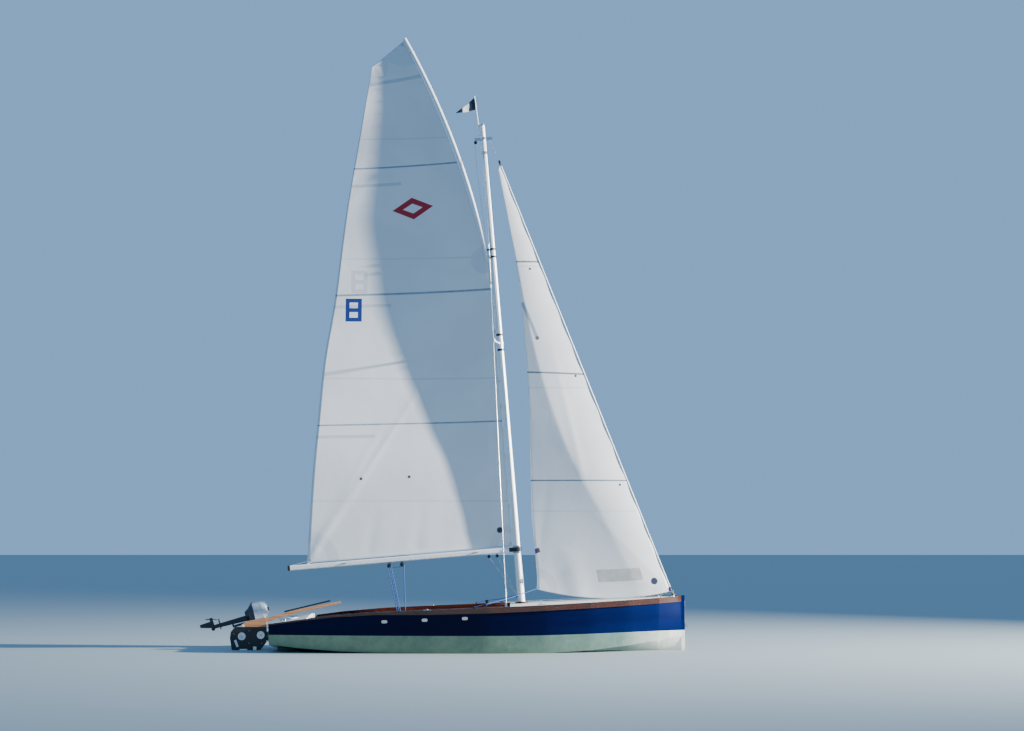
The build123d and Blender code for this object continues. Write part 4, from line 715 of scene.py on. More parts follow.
def solids(names):
    """The CAD solids named, as one tree that straight lines can be sent at."""
    made = bmesh.new()
    for name in names.split():
        made.from_mesh(cad[name].data)
    tree = BVHTree.FromBMesh(made)
    made.free()
    return tree


def meet(tree, start, direction, above=0.0):
    """Where a line from a point first meets the solids, or that far above their surface."""
    spot, normal, _, _ = tree.ray_cast(Vector(start), Vector(direction))
    return spot + normal * above


def rope(name, points, width, material, body):
    """A rope as a mesh tube, along a smooth line that its points steer."""
    data = bpy.data.curves.new(name + "_line", "CURVE")
    data.dimensions = "3D"
    line = data.splines.new("NURBS")
    line.points.add(len(points) - 1)
    for point, place in zip(line.points, points):
        point.co = (*place, 1)
    line.order_u = 3
    line.use_endpoint_u = True
    line.resolution_u = 8
    data.bevel_depth = width / 2
    data.bevel_resolution = 3
    data.use_fill_caps = True
    holder = bpy.data.objects.new(name + "_line", data)
    bpy.context.scene.collection.objects.link(holder)
    bpy.context.view_layer.update()
    mesh = bpy.data.meshes.new_from_object(holder)
    bpy.data.objects.remove(holder)
    mesh.materials.clear()
    mesh.materials.append(material)
    finished = bpy.data.objects.new(name, mesh)
    bpy.context.scene.collection.objects.link(finished)
    if body:
        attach(finished, body)
    return finished


for name in ("topside_port", "topside_starboard", "bottom_planking"):
    faired(name, hull_enamel)
faired("coamings", strake_varnish)
for name in ("foredeck", "side_decks", "aft_deck"):
    faired(name, deck_finish)


# ---------------------------------------------------------------- the rig's lines
mast_rake = math.radians(4.73)
partner_x, partner_z = 0.618, 0.651
mast_foot_z, mast_long = -0.104, 7.904
mast_foot_radius, mast_taper = 0.056, 0.019
boom_z = 1.462
yard_heel_x, yard_heel_z = 0.118, 5.740
yard_run, yard_rise, yard_bend = -1.267, 3.408, 0.134
luff_off_mast, luff_off_yard = 0.020, 0.0317
sail_thick = 0.0012
boom_turn = Vector((-math.cos(mast_rake), 0, -math.sin(mast_rake)))
boom_up = Vector((-math.sin(mast_rake), 0, math.cos(mast_rake)))


def mast_x(z):
    """Where the mast's axis is at height z."""
    return partner_x - (z - partner_z) * math.tan(mast_rake)


def mast_radius(z):
    """Radius of the mast at height z."""
    return mast_foot_radius - mast_taper * (z - mast_foot_z) / mast_long


def boom_point(distance, up=0, side=0):
    """A point behind the mast's axis along the boom, above it and to port of it."""
    return Vector((mast_x(boom_z), side, boom_z)) + boom_turn * distance + boom_up * up


def yard_point(share):
    """A point on the yard's centreline, counted from its heel."""
    long = math.hypot(yard_run, yard_rise)
    bulge = 4 * yard_bend * share * (1 - share)
    x = yard_heel_x + yard_run * share + bulge * yard_rise / long
    return Vector((x, 0, yard_heel_z + yard_rise * share - bulge * yard_run / long))


def luff_x(z):
    """Where the mainsail's luff is at height z."""
    behind_mast = mast_x(z) - mast_radius(z) - luff_off_mast
    share = (z - yard_heel_z) / yard_rise
    if share <= 0:
        return behind_mast
    return min(behind_mast, yard_point(share).x - luff_off_yard)


def smooth_row(rows, place):
    """The values of a table at a place between its rows, on a smooth line through them."""
    low = min(int(place), len(rows) - 2)
    share = place - low
    four = [rows[max(low - 1, 0)], rows[low], rows[low + 1], rows[min(low + 2, len(rows) - 1)]]
    return [
        0.5 * (2 * b + (c - a) * share + (2 * a - 5 * b + 4 * c - d) * share**2 + (3 * b - a - 3 * c + d) * share**3)
        for a, b, c, d in zip(*four)
    ]


def crease_depth(creases, place):
    """How far the creases push the cloth at a place on it, in metres."""
    total = 0
    for start, end, width, depth in creases:
        start, run = Vector(start), Vector(end) - Vector(start)
        along = min(1, max(0, (place - start).dot(run) / run.length_squared))
        off = (place - start - run * along).length
        total += depth * math.exp(-((off / width) ** 2)) * (1 - along) ** 0.7
    return total


def ticks(low, high, count, extra=()):
    """Evenly spaced places with some more between them, none nearer than a third of a space to those."""
    space = (high - low) / count
    plain = [low + space * index for index in range(count + 1)]
    kept = [place for place in plain if all(abs(place - other) > space / 3 or place in (low, high) for other in extra)]
    return sorted(set(kept) | set(extra))


def thicken(finished, thickness):
    """Gives cloth its thickness, half to each side."""
    solid = finished.modifiers.new("thickness", "SOLIDIFY")
    solid.thickness = thickness
    solid.offset = 0


# ---------------------------------------------------------------- mainsail
# luff height, leech x, leech height, as the CAD rows; then the share of the chord where the belly
# ends and the flat run to the leech starts, how far to port that is, how it slopes, and the leech
main_rows = [
    (1.507, -2.531, 1.258, 0.20, 0.037, -0.02, 0.000),
    (2.600, -2.464, 2.601, 0.31, 0.077, -0.03, 0.010),
    (3.350, -2.408, 3.285, 0.43, 0.120, -0.03, 0.060),
    (4.250, -2.335, 4.200, 0.58, 0.165, -0.03, 0.125),
    (5.321, -2.178, 5.250, 0.76, 0.206, -0.02, 0.190),
    (6.360, -2.049, 6.356, 0.85, 0.203, -0.01, 0.195),
    (7.245, -1.916, 7.176, 0.86, 0.159, 0.00, 0.155),
    (8.120, -1.752, 8.110, 0.87, 0.097, 0.00, 0.093),
    (9.118, -1.645, 8.727, 0.85, 0.047, 0.00, 0.045),
]
# creases on the cloth, from where they are deepest: metres behind the luff and up it, width, depth
main_creases = [
    ((2.95, 1.36), (0.85, 4.30), 0.030, -0.0075),
    ((2.95, 1.36), (1.60, 3.60), 0.050, -0.0035),
    ((2.95, 1.36), (1.00, 2.30), 0.070, -0.0035),
    ((0.05, 1.55), (1.70, 1.95), 0.050, 0.0030),
    ((0.05, 1.55), (1.10, 2.60), 0.060, 0.0030),
    ((0.02, 5.75), (1.10, 4.70), 0.080, 0.0050),
    ((0.02, 5.75), (0.90, 6.40), 0.060, -0.0030),
    ((0.02, 9.00), (0.60, 7.60), 0.060, 0.0030),
    ((0.55, 8.70), (0.20, 7.40), 0.050, -0.0025),
    ((1.40, 1.50), (1.25, 2.20), 0.090, 0.0040),
    ((2.10, 1.45), (1.95, 2.05), 0.080, 0.0035),
]


def main_place(across, row):
    """A point of the mainsail, and its place on the flat cloth."""
    luff_z, leech_x, leech_z, turn, turn_port, turn_slope, leech_port = smooth_row(main_rows, row)
    luff = Vector((luff_x(luff_z), 0, luff_z))
    chord = Vector((leech_x, 0, leech_z)) - luff
    behind = chord.length * across
    spot = Vector((behind, luff_z + (leech_z - luff_z) * across))
    belly = chord.length * turn
    if behind < belly:
        port = turn_port * (behind / belly) * (2 - behind / belly) - turn_slope * behind * (1 - behind / belly)
    else:
        past, run = behind - belly, chord.length - belly
        port = turn_port + turn_slope * past + (leech_port - turn_port - turn_slope * run) * (past / run) ** 2
    # shallow gathers between the slides on the mast
    port += 0.005 * math.exp(-behind / 0.16) * math.cos(2 * math.pi * (luff_z - 1.6) / 0.62)
    # soft unevenness of hung cloth, nothing at the luff
    soft = noise.noise(Vector((behind * 0.7, luff_z * 0.5, 3.1))) * 0.010
    soft += noise.noise(Vector((behind * 3.1, luff_z * 2.3, 7.7))) * 0.002
    port += soft * min(1, behind / 0.5) * (1 - 0.6 * across)
    inward = min(1, min(behind / 0.15, (chord.length - behind) / 0.15 + 0.15))
    port += crease_depth(main_creases, spot) * inward
    # the leech flutters a little between the battens
    port += 0.006 * math.sin(luff_z * 5.2) * across**10
    return luff + chord * across + Vector((0, port, 0)), (behind, spot.y)


def strip_rows(rows, edges):
    """Which spaces between rows lie inside a pair of edges."""
    inside = set()
    for index, (low, high) in enumerate(zip(rows, rows[1:])):
        middle = (low + high) / 2
        if any(start < middle < end for start, end in zip(edges[::2], edges[1::2])):
            inside.add(index)
    return inside


def sail(columns, rows, place, stripes, panes=()):
    """A sail with its stripes in another cloth and its window panes in film."""
    made = bmesh.new()
    flat = made.loops.layers.uv.new("cloth")
    bmesh.ops.create_grid(made, x_segments=len(columns) - 1, y_segments=len(rows) - 1, size=0.5)
    taped = strip_rows(rows, stripes)
    where = {}
    for face in made.faces:
        middle = face.calc_center_median()
        column = int((middle.x + 0.5) * (len(columns) - 1))
        row = int((middle.y + 0.5) * (len(rows) - 1))
        face.material_index = 1 if row in taped else 0
        across = (columns[column] + columns[column + 1]) / 2
        up = (rows[row] + rows[row + 1]) / 2
        for left, right, low, high in panes:
            if left < across < right and low < up < high:
                face.material_index = 2
    for corner in made.verts:
        column = columns[round((corner.co.x + 0.5) * (len(columns) - 1))]
        row = rows[round((corner.co.y + 0.5) * (len(rows) - 1))]
        corner.co, where[corner] = place(column, row)
    for face in made.faces:
        for loop in face.loops:
            loop[flat].uv = where[loop.vert]
    return made


# a stripe is 26 mm of tape; a row is about 0.9 m of luff
main_stripes = [row + side * 0.014 for row in (2, 4, 6) for side in (-1, 1)]
main_mesh = sail(ticks(0, 1, 72), ticks(0, 8, 190, main_stripes), main_place, main_stripes)
# the area of the finished cloth, summed over its faces; the area told is the finished
# cloth's own, less a guessed 1.5 percent for its curve
main_area = sum(face.calc_area() for face in main_mesh.faces)
mainsail = piece(main_mesh, "mainsail_cloth", [main_cloth, stripe_tape], "rig")
thicken(mainsail, sail_thick)
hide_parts("mainsail")


# ---------------------------------------------------------------- jib
stay_foot = Vector((2.815, 0, 0.848))
stay_top = max((corner.co for corner in cad["forestay"].data.vertices), key=lambda spot: spot.z)
stay_head = Vector((stay_top.x, 0, stay_top.z))
# share of the stay, leech x, leech height, as the CAD rows; then the share of the chord where the
# belly ends, how far to starboard that is, and how far the leech is
jib_rows = [
    (0.0006, 0.842, 0.880, 0.24, 0.052, 0.012),
    (0.060, 0.835, 1.190, 0.27, 0.066, 0.000),
    (0.170, 0.768, 1.960, 0.36, 0.073, -0.004),
    (0.280, 0.745, 2.750, 0.52, 0.073, 0.006),
    (0.400, 0.728, 3.580, 0.68, 0.067, 0.032),
    (0.540, 0.672, 4.500, 0.83, 0.056, 0.042),
    (0.700, 0.560, 5.560, 0.94, 0.043, 0.040),
    (0.840, 0.400, 6.470, 0.99, 0.029, 0.029),
    (0.945, 0.268, 7.140, 0.99, 0.018, 0.018),
]
jib_creases = [
    ((1.95, 0.90), (0.60, 1.60), 0.050, -0.003),
    ((1.95, 0.90), (1.10, 2.60), 0.060, -0.003),
    ((0.05, 0.90), (0.90, 1.25), 0.050, 0.003),
    ((0.05, 0.95), (0.75, 2.10), 0.050, 0.003),
    ((0.05, 7.10), (0.35, 5.60), 0.040, 0.002),
    ((1.36, 0.80), (1.22, 1.50), 0.160, 0.014),
    ((0.62, 2.60), (0.30, 4.60), 0.060, 0.004),
]


def jib_place(across, row):
    """A point of the jib, and its place on the flat cloth."""
    share, leech_x, leech_z, turn, turn_out, leech_out = smooth_row(jib_rows, row)
    luff = stay_foot.lerp(stay_head, share) - Vector((0.0046, 0, 0))
    chord = Vector((leech_x, 0, leech_z)) - luff
    behind = chord.length * across
    spot = Vector((behind, luff.z + (leech_z - luff.z) * across))
    if across < turn:
        starboard = turn_out * (across / turn) * (2 - across / turn)
    else:
        starboard = turn_out + (leech_out - turn_out) * (across - turn) / (1 - turn)
    starboard += noise.noise(Vector((behind * 1.2, luff.z * 0.9, 11.3))) * 0.006 * min(1, behind / 0.4)
    starboard += 0.003 * math.exp(-behind / 0.12) * math.cos(2 * math.pi * luff.z / 0.5)
    starboard += crease_depth(jib_creases, spot) * min(1, behind / 0.1)
    # the foot's round hangs below the line from tack to clew
    dip = 0.118 * 4 * across * (1 - across) * max(0, 1 - row / 1.6) ** 1.5
    return luff + chord * across - Vector((0, starboard, dip)), (behind, spot.y)


jib_stripes = [place + side * 0.013 for place in (2.65, 4.55, 6.17) for side in (-1, 1)]
# the window's sides as shares of the chord, and its foot and head in rows
window = (0.175, 0.525, 0.62, 0.95)
jib_across = ticks(0, 1, 46, window[:2])
jib_up = ticks(0, 8, 150, jib_stripes + list(window[2:]))
jib_mesh = sail(jib_across, jib_up, jib_place, jib_stripes, [window])
jib_area = sum(face.calc_area() for face in jib_mesh.faces)
jib = piece(jib_mesh, "jib_cloth", [jib_cloth, jib_tape, window_film], "hull")
thicken(jib, sail_thick)
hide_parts("jib")


# ---------------------------------------------------------------- burgee
def burgee_place(across, up):
    """A point of the pennant, flying aft and down from its staff, with a wave in it."""
    hoist = Vector((-0.076, 0, 8.052)).lerp(Vector((-0.082, 0, 8.250)), up)
    tip = Vector((-0.380, 0, 8.000))
    spot = hoist.lerp(tip, across)
    spot.y = 0.016 * math.sin(across * 7) * across
    spot.z -= 0.012 * math.sin(across * math.pi)
    return spot, (across * 0.31, up * 0.2 * (1 - across))


burgee_across = ticks(0, 0.96, 24, (0.3, 0.62))
made = sail(burgee_across, ticks(0, 1, 10), burgee_place, [])
for face in made.faces:
    behind = -0.08 - face.calc_center_median().x
    face.material_index = 1 if 0.092 < behind < 0.186 else 0
burgee_area = sum(face.calc_area() for face in made.faces)
burgee = piece(made, "burgee_cloth", [navy_bunting, white_bunting], "hull")
thicken(burgee, 0.0008)
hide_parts("burgee")


# ---------------------------------------------------------------- mast, yard and their lines
across_boat = Vector((0, 1, 0))
upright = Vector((0, 0, 1))
both_sides = ((1, "port"), (-1, "starboard"))


def on_mast(z, ahead=0, side=0):
    """A point beside the mast's axis."""
    return Vector((mast_x(z) + ahead, side, z))


def on_stay(z):
    """A point on the forestay's axis."""
    return stay_foot.lerp(stay_head, (z - stay_foot.z) / (stay_head.z - stay_foot.z))


made = bmesh.new()
for index in range(11):
    z = 1.72 + index * 0.37
    centre = on_mast(z, -mast_radius(z) - 0.012)
    block(made, centre, (0.018, 0.024, 0.052), 0.004)
    ring(made, centre - Vector((0.012, 0, 0)), (0, 0, 1), 0.007, 0.002, 12)
piece(made, "luff_slides", [white_nylon], "rig")

made = bmesh.new()
for index in range(17):
    share = 0.07 + index * 0.054
    ring(made, yard_point(share), yard_point(share + 0.01) - yard_point(share - 0.01), 0.0325, 0.003, 18)
piece(made, "yard_lacing", [white_rope], "rig")

made = bmesh.new()
for z in (4.406, 4.63):
    inner, outer = mast_radius(z) - 0.002, mast_radius(z) + 0.004
    sleeve = [(inner, -0.016), (outer, -0.016), (outer, 0.016), (inner, 0.016), (inner, -0.016)]
    lathe(made, sleeve, on_mast(z), boom_up, 32)
piece(made, "spreader_bands", [black_nylon], "hull")

made = bmesh.new()
for way in (-1, 1):
    tip = max((corner.co for corner in cad["spreaders"].data.vertices), key=lambda spot: spot.y * way)
    boot = [(0, -0.030), (0.011, -0.024), (0.016, -0.008), (0.016, 0.008), (0.011, 0.024), (0, 0.030)]
    lathe(made, boot, tip, upright)
piece(made, "spreader_boots", [white_nylon], "hull")

made = bmesh.new()
pulley(made, (-0.072, 0, 7.545), across_boat, upright, 0.024)
piece(made, "halyard_block", [black_nylon], "hull")
halyard_run = [(-0.088, 0, 7.530), (-0.030, 0, 6.90), (0.060, 0, 6.30), (0.105, 0, 5.860)]
halyard = rope("main_halyard", halyard_run, 0.007, white_rope, None)
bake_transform(halyard)

for way, name in both_sides:
    points = [
        on_mast(7.56, 0.040, way * 0.030),
        on_mast(7.45, 0.052, way * 0.036),
        on_mast(4.40, 0.054, way * 0.049),
        on_mast(1.46, 0.055, way * 0.063),
        on_mast(1.06, 0.040, way * 0.062),
    ]
    rope("halyard_fall_" + name, points, 0.006, white_rope if way > 0 else blue_rope, "hull")
    made = bmesh.new()
    cleat(made, on_mast(1.00, 0.028, way * 0.044), boom_up, Vector((0.45, way, 0)), 0.13)
    piece(made, "mast_cleat_" + name, [black_nylon], "hull")
    # the turns of the fall on its cleat
    made = bmesh.new()
    outward = Vector((0.45, way, 0)).normalized()
    for up in (-0.020, 0.0, 0.020):
        ring(made, on_mast(1.00 + up, 0.028, way * 0.044) + outward * 0.024, boom_up, 0.017, 0.0035, 16)
    piece(made, "fall_turns_" + name, [white_rope if way > 0 else blue_rope], "hull")

made = bmesh.new()
rod(made, on_stay(0.905), on_stay(7.180), 0.0095, sides=14)
piece(made, "jib_luff_sleeve", [sleeve_cloth], "hull")
made = bmesh.new()
stay_run = (stay_head - stay_foot).normalized()
swivel = [(0, 0), (0.013, 0.004), (0.017, 0.02), (0.017, 0.055), (0.011, 0.075), (0, 0.078)]
lathe(made, swivel, on_stay(7.205), stay_run)
piece(made, "head_swivel", [black_nylon], "hull")
made = bmesh.new()
block(made, (2.792, -0.004, 0.885), (0.030, 0.016, 0.058), 0.005)
piece(made, "jib_tack_strap", [purple_webbing], "hull")

made = bmesh.new()
flange = [(0.008, -0.004), (0.034, -0.004), (0.036, 0), (0.034, 0.004), (0.008, 0.004)]
for z in (0.793, 0.856):
    lathe(made, flange, on_stay(z), stay_run, 28)
piece(made, "drum_flanges", [steel], "hull")


# ---------------------------------------------------------------- boom, sheets and kicker
made = bmesh.new()
for distance in (1.700, 1.887):
    pulley(made, boom_point(distance, -0.080), across_boat, boom_up, 0.030)
    block(made, boom_point(distance, -0.038), (0.060, 0.026, 0.006), 0.002, Matrix.Rotation(-mast_rake, 4, "Y"))
pulley(made, boom_point(0.42, -0.072), across_boat, boom_up, 0.024)
pulley(made, boom_point(0.30, -0.072), across_boat, boom_up, 0.024)
piece(made, "boom_blocks", [black_nylon], "rig")

# the blocks' pad stands on the floorboards, close abaft the centreboard case
made = bmesh.new()
block(made, (-1.10, 0, 0.134), (0.200, 0.150, 0.028), 0.006)
piece(made, "sheet_pad", [bench_varnish], "hull")
made = bmesh.new()
post = [(0, 0), (0.045, 0), (0.045, 0.008), (0.022, 0.016), (0.020, 0.045), (0, 0.048)]
lathe(made, post, (-1.10, 0, 0.148), upright, 28)
piece(made, "sheet_swivel", [steel], "hull")
made = bmesh.new()
pulley(made, (-1.10, 0, 0.245), across_boat, -upright, 0.034)
for way in (-1, 1):
    block(made, (-1.165, way * 0.014, 0.262), (0.050, 0.016, 0.022), 0.005)
piece(made, "sheet_block", [black_nylon], "hull")


def lead_down(name, top, foot, width, material):
    """A line from the boom down to the hull."""
    line = rope(name, [top, top.lerp(foot, 0.5), foot], width, material, None)
    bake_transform(line)


falls = (
    ("mainsheet_fore", boom_point(1.700, -0.085) + Vector((0.028, 0, 0)), Vector((-1.072, 0, 0.250))),
    ("mainsheet_aft", boom_point(1.887, -0.085) - Vector((0.028, 0, 0)), Vector((-1.134, 0, 0.250))),
    ("mainsheet_middle", boom_point(1.887, -0.085), Vector((-1.112, 0, 0.262))),
    ("mainsheet_inner", boom_point(1.887, -0.085) + Vector((0.024, 0, 0)), Vector((-1.092, 0, 0.262))),
)
for name, top, foot in falls:
    lead_down(name, top, foot, 0.012, blue_rope)
under_boom = [boom_point(1.672, -0.110), boom_point(1.79, -0.118), boom_point(1.915, -0.110)]
rope("mainsheet_run", under_boom, 0.010, blue_rope, "rig")

kicker_foot = Vector((0.555, 0, 0.780))
for number, distance in enumerate((0.30, 0.42)):
    lead_down(f"kicker_{number}", boom_point(distance, -0.075), kicker_foot, 0.006, white_rope)
made = bmesh.new()
pulley(made, kicker_foot, across_boat, Vector((0.6, 0, -1)), 0.022)
piece(made, "kicker_block", [black_nylon], "hull")

made = bmesh.new()
for place, radius in (((-2.487, 0.002, 1.300), 0.017), ((0.452, 0.004, 1.545), 0.014), ((-1.185, 0.004, 9.060), 0.012)):
    ring(made, place, across_boat, radius, 0.0035)
piece(made, "main_corner_rings", [steel], "rig")
rope("outhaul", [(-2.500, 0, 1.292), (-2.620, 0, 1.262), (-2.790, 0, 1.215)], 0.005, white_rope, "rig")
made = bmesh.new()
cleat(made, boom_point(2.55, 0.0, -0.030), boom_turn, (0, -1, 0), 0.09)
cleat(made, boom_point(0.62, 0.0, -0.030), boom_turn, (0, -1, 0), 0.09)
piece(made, "boom_cleats", [black_nylon], "rig")

made = bmesh.new()
jib_clew = jib_place(1, 0)[0] + Vector((0.022, 0.001, 0.016))
ring(made, jib_clew, across_boat, 0.014, 0.0035)
piece(made, "jib_clew_ring", [steel], "hull")

decks = solids("foredeck side_decks aft_deck")


def on_deck(x, y, above=0.0):
    """A point on the deck, or that far above it."""
    return meet(decks, (x, y, 2), (0, 0, -1), above)


lead_y = 0.845
blocks, cleats = bmesh.new(), bmesh.new()
for way, name in both_sides:
    lead = on_deck(0.10, way * lead_y, 0.034)
    cam = on_deck(-0.06, way * lead_y, 0.018)
    pulley(blocks, lead, across_boat, -upright, 0.026)
    block(cleats, on_deck(-0.06, way * lead_y, 0.004), (0.075, 0.045, 0.010), 0.003)
    for side in (-1, 1):
        jaw = on_deck(-0.06, way * lead_y + side * 0.015, 0.008)
        lathe(cleats, [(0, 0), (0.014, 0), (0.015, 0.022), (0, 0.024)], jaw, upright)
    middle = jib_clew.lerp(lead, 0.5) - Vector((0, 0, 0.035 if way > 0 else 0.010))
    points = [jib_clew, middle, lead + Vector((0.026, 0, 0.018)), lead + Vector((-0.026, 0, 0.014)), cam]
    rope("jib_sheet_" + name, points, 0.009, blue_rope, "hull")
piece(blocks, "jib_sheet_blocks", [black_nylon], "hull")
piece(cleats, "jib_sheet_cleats", [black_nylon], "hull")

fairleads = ((2.0, 0.42), (1.2, 0.68), (0.60, 0.80))
line = [on_deck(x, y, 0.018) for x, y in ((2.55, 0.16), *fairleads, (0.33, 0.86))]
rope("furling_line", [(2.790, 0.030, 0.822), *line], 0.005, white_rope, "hull")
made = bmesh.new()
for x, y in fairleads:
    ring(made, on_deck(x, y, 0.018), (1, -0.3, 0), 0.011, 0.003, 14)
    rod(made, on_deck(x, y, -0.002), on_deck(x, y, 0.008), 0.010, 0.006, 12)
piece(made, "furling_fairleads", [steel], "hull")
made = bmesh.new()
cleat(made, on_deck(0.33, 0.86), (1, 0, 0), upright, 0.10)
piece(made, "furling_cleat", [black_nylon], "hull")


# ---------------------------------------------------------------- deck and hull fittings
made = bmesh.new()
cleat(made, on_deck(2.42, 0), (1, 0, 0), upright, 0.19)
for way in (-1, 1):
    cleat(made, on_deck(-2.80, way * 0.47), (1, 0, 0), upright, 0.16)
    rod(made, on_deck(2.64, way * 0.24, -0.002), on_deck(2.64, way * 0.24, 0.010), 0.020, 0.016)
    ring(made, on_deck(2.64, way * 0.24, 0.022), (1, 0, 0), 0.014, 0.005)
piece(made, "mooring_cleats", [steel], "hull")

made = bmesh.new()
for way in (-1, 1):
    for x in (-0.72, 0.90):
        spot = on_deck(x, way * (0.88 if x < 0 else 0.66))
        block(made, spot + upright * 0.003, (0.110, 0.042, 0.010), 0.003)
        lathe(made, [(0.007, 0.006), (0.014, 0.006), (0.014, 0.020), (0.007, 0.020), (0.007, 0.006)], spot, upright)
        for ahead in (-0.04, 0.04):
            dome(made, spot + Vector((ahead, 0, 0.008)), upright, 0.006)
piece(made, "rowlock_plates", [steel], "hull")

made = bmesh.new()
hatch = on_deck(-2.70, -0.34)
lean = decks.ray_cast(Vector((-2.70, -0.34, 2)), Vector((0, 0, -1)))[1]
lid = [(0, 0.013), (0.070, 0.013), (0.076, 0.009), (0.078, 0.004), (0.098, 0.004), (0.102, -0.002), (0, -0.002)]
lathe(made, lid, hatch, lean, 48)
for turn in range(0, 360, 60):
    arm = Vector((math.cos(math.radians(turn)), math.sin(math.radians(turn)), 0)) * 0.091
    dome(made, hatch + arm - lean * arm.dot(lean) + lean * 0.004, lean, 0.005, 8)
rod(made, hatch + Vector((-0.045, 0, 0.016)), hatch + Vector((0.045, 0, 0.016)), 0.006, sides=12)
piece(made, "deck_hatch", [white_nylon], "hull")

made = bmesh.new()
for way in (-1, 1):
    foot = min((corner.co for corner in cad["shrouds"].data.vertices if corner.co.y * way > 0), key=lambda spot: spot.z)
    rod(made, foot + Vector((-0.018, 0, 0.010)), foot + Vector((0.018, 0, 0.010)), 0.004, sides=12)
    for up in (0.10, 0.16, 0.22):
        ring(made, foot + Vector((-0.0003 * up, -way * 0.085 * up, up)), (0, 0, 1), 0.007, 0.003, 14)
piece(made, "shroud_pins", [steel], "hull")

made = bmesh.new()
block(made, (3.001, 0, 0.560), (0.006, 0.016, 0.300), 0.002)
block(made, (3.001, 0, 0.150), (0.006, 0.016, 0.300), 0.002)
for z in (0.03, 0.15, 0.27, 0.43, 0.56, 0.69):
    dome(made, (3.004, 0, z), (1, 0, 0), 0.005, 8)
piece(made, "stem_band", [steel], "hull")

stern = solids("transom outboard_bracket outboard_pad")
made = bmesh.new()
for y in (-0.30, 0.26):
    spot = meet(stern, (-4, y, 0.155), (1, 0, 0))
    lathe(made, [(0, 0.012), (0.012, 0.012), (0.014, 0.006), (0.028, 0.005), (0.031, 0), (0, 0)], spot, (-1, 0, 0), 24)
for y, z in ((0.437, 0.095), (0.563, 0.095), (0.437, 0.215), (0.563, 0.215)):
    dome(made, meet(stern, (-3.2, y, z), (1, 0, 0)), (-1, 0, 0), 0.009)
piece(made, "transom_fittings", [steel], "hull")

# wooden plugs over the screws of the strakes, as domes that barely stand out
made = bmesh.new()
sides = solids("rubbing_strakes")
for way in (-1, 1):
    for index in range(19):
        # the strake rises to the bow, so a level line is sent in from higher up until one meets it
        for z in (0.500, 0.52, 0.56, 0.60, 0.64, 0.68, 0.72, 0.76):
            start = Vector((-2.80 + index * 0.30, way * 2, z))
            spot, normal, _, _ = sides.ray_cast(start, Vector((0, -way, 0)))
            if spot is not None:
                dome(made, spot, normal, 0.006, 8)
                break
piece(made, "strake_plugs", [strake_varnish], "hull")

floors = solids("floorboards side_benches thwart")
made = bmesh.new()
for way in (-1, 1):
    for x in (-2.1, -1.6, -1.1, -0.6, -0.1, 0.3):
        for y in (0.10, 0.17, 0.25, 0.32, 0.40, 0.47):
            dome(made, meet(floors, (x, way * y, 0.25), (0, 0, -1)), upright, 0.005, 8)
    for x in (-2.04, -1.24, -0.44):
        for y in (0.54, 0.62, 0.70):
            dome(made, meet(floors, (x, way * y, 0.60), (0, 0, -1)), upright, 0.005, 8)
piece(made, "board_screws", [steel], "hull")

# the lifting line of the centreboard comes out of the case's capping and belays abaft it
case = solids("centreboard_case")
made = bmesh.new()
cleat(made, meet(case, (-0.74, 0.030, 2), (0, 0, -1)), (1, 0, 0), upright, 0.11)
piece(made, "board_cleat", [black_nylon], "hull")
top = meet(case, (-0.50, 0.030, 2), (0, 0, -1)).z
line = [(-0.36, top - 0.02), (-0.38, top + 0.012), (-0.60, top + 0.010), (-0.72, top + 0.020)]
rope("board_line", [(x, 0.030, z) for x, z in line], 0.006, blue_rope, "hull")


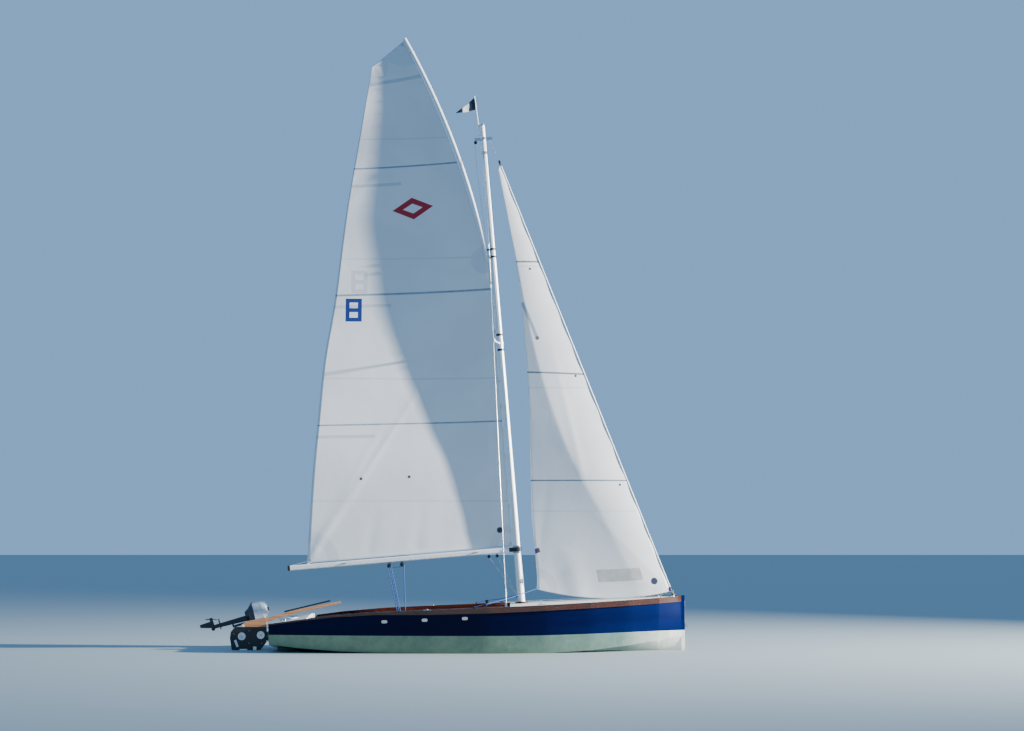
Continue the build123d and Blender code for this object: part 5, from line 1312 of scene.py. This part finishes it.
# ---------------------------------------------------------------- rudder and motor
made = bmesh.new()
for way in (-1, 1):
    face = Vector((0, way * 0.0265, 0))
    turn = Matrix.Rotation(math.radians(-22), 4, "Y")
    block(made, Vector((-3.543, 0, 0.095)) + face, (0.034, 0.003, 0.105), 0.0012, turn)
    block(made, Vector((-3.440, 0, 0.000)) + face, (0.110, 0.003, 0.034), 0.0012)
    block(made, Vector((-3.274, 0, 0.018)) + face, (0.048, 0.003, 0.068), 0.0012)
    lathe(made, [(0, 0.0025), (0.036, 0.0020), (0.040, 0), (0, 0)], (-3.467, way * 0.0302, 0.200), (0, way, 0), 32)
    block(made, (-3.452, way * 0.0315, 0.350), (0.036, 0.003, 0.030), 0.0012)
piece(made, "rudder_plates", [plate_enamel], "rudder")
made = bmesh.new()
for way in (-1, 1):
    for x, z in ((-3.467, 0.200), (-3.190, 0.217)):
        dome(made, (x, way * 0.033, z), (0, way, 0), 0.012, 16)
    for x, z in ((-3.58, 0.23), (-3.36, 0.28), (-3.36, 0.10), (-3.17, 0.10)):
        dome(made, (x, way * 0.026, z), (0, way, 0), 0.007)
piece(made, "rudder_bolts", [steel], "rudder")

cowl = solids("outboard_cowl outboard_pan")


def on_cowl(up, back, side, direction):
    """A point on the cowl, found along a direction through a place in its own heights."""
    through = motor_pin + motor_up * up - motor_front * back + Vector((0, side, 0))
    return meet(cowl, through - Vector(direction) * 0.6, direction)


made = bmesh.new()
spot = on_cowl(0.215, 0.1, 0, -motor_front)
lathe(made, [(0.022, -0.002), (0.030, -0.002), (0.030, 0.006), (0.022, 0.006), (0.022, -0.002)], spot, motor_front, 28)
rod(made, spot - motor_front * 0.002, spot + motor_front * 0.026, 0.006, 0.005)
block(made, spot + motor_front * 0.030, (0.016, 0.078, 0.016), 0.006, Matrix.Rotation(math.radians(-15), 4, "Y"))
spot = on_cowl(0.3, 0.150, 0, -motor_up)
cap = [(0, 0.020), (0.022, 0.020), (0.028, 0.014), (0.030, 0.002), (0.030, -0.006), (0, -0.006)]
lathe(made, cap, spot, motor_up, 28)
piece(made, "motor_grip_and_cap", [black_nylon], "motor")

made = bmesh.new()
for y in (0.465, 0.535):
    rod(made, (-3.392, y, 0.278), (-3.340, y, 0.278), 0.007, sides=12)
    rod(made, (-3.344, y, 0.252), (-3.344, y, 0.304), 0.005, sides=12)
piece(made, "clamp_screws", [steel], "hull")


# ---------------------------------------------------------------- floor
water_level = bmesh.new()
bmesh.ops.create_grid(water_level, x_segments=1, y_segments=1, size=200)
floor = piece(water_level, "pale_floor", [], None)
pale, _, _, shader = begin("pale_studio_floor")
shader.inputs["Base Color"].default_value = linear("93a2a8")
shader.inputs["Roughness"].default_value = 0.7
floor.data.materials.append(pale)
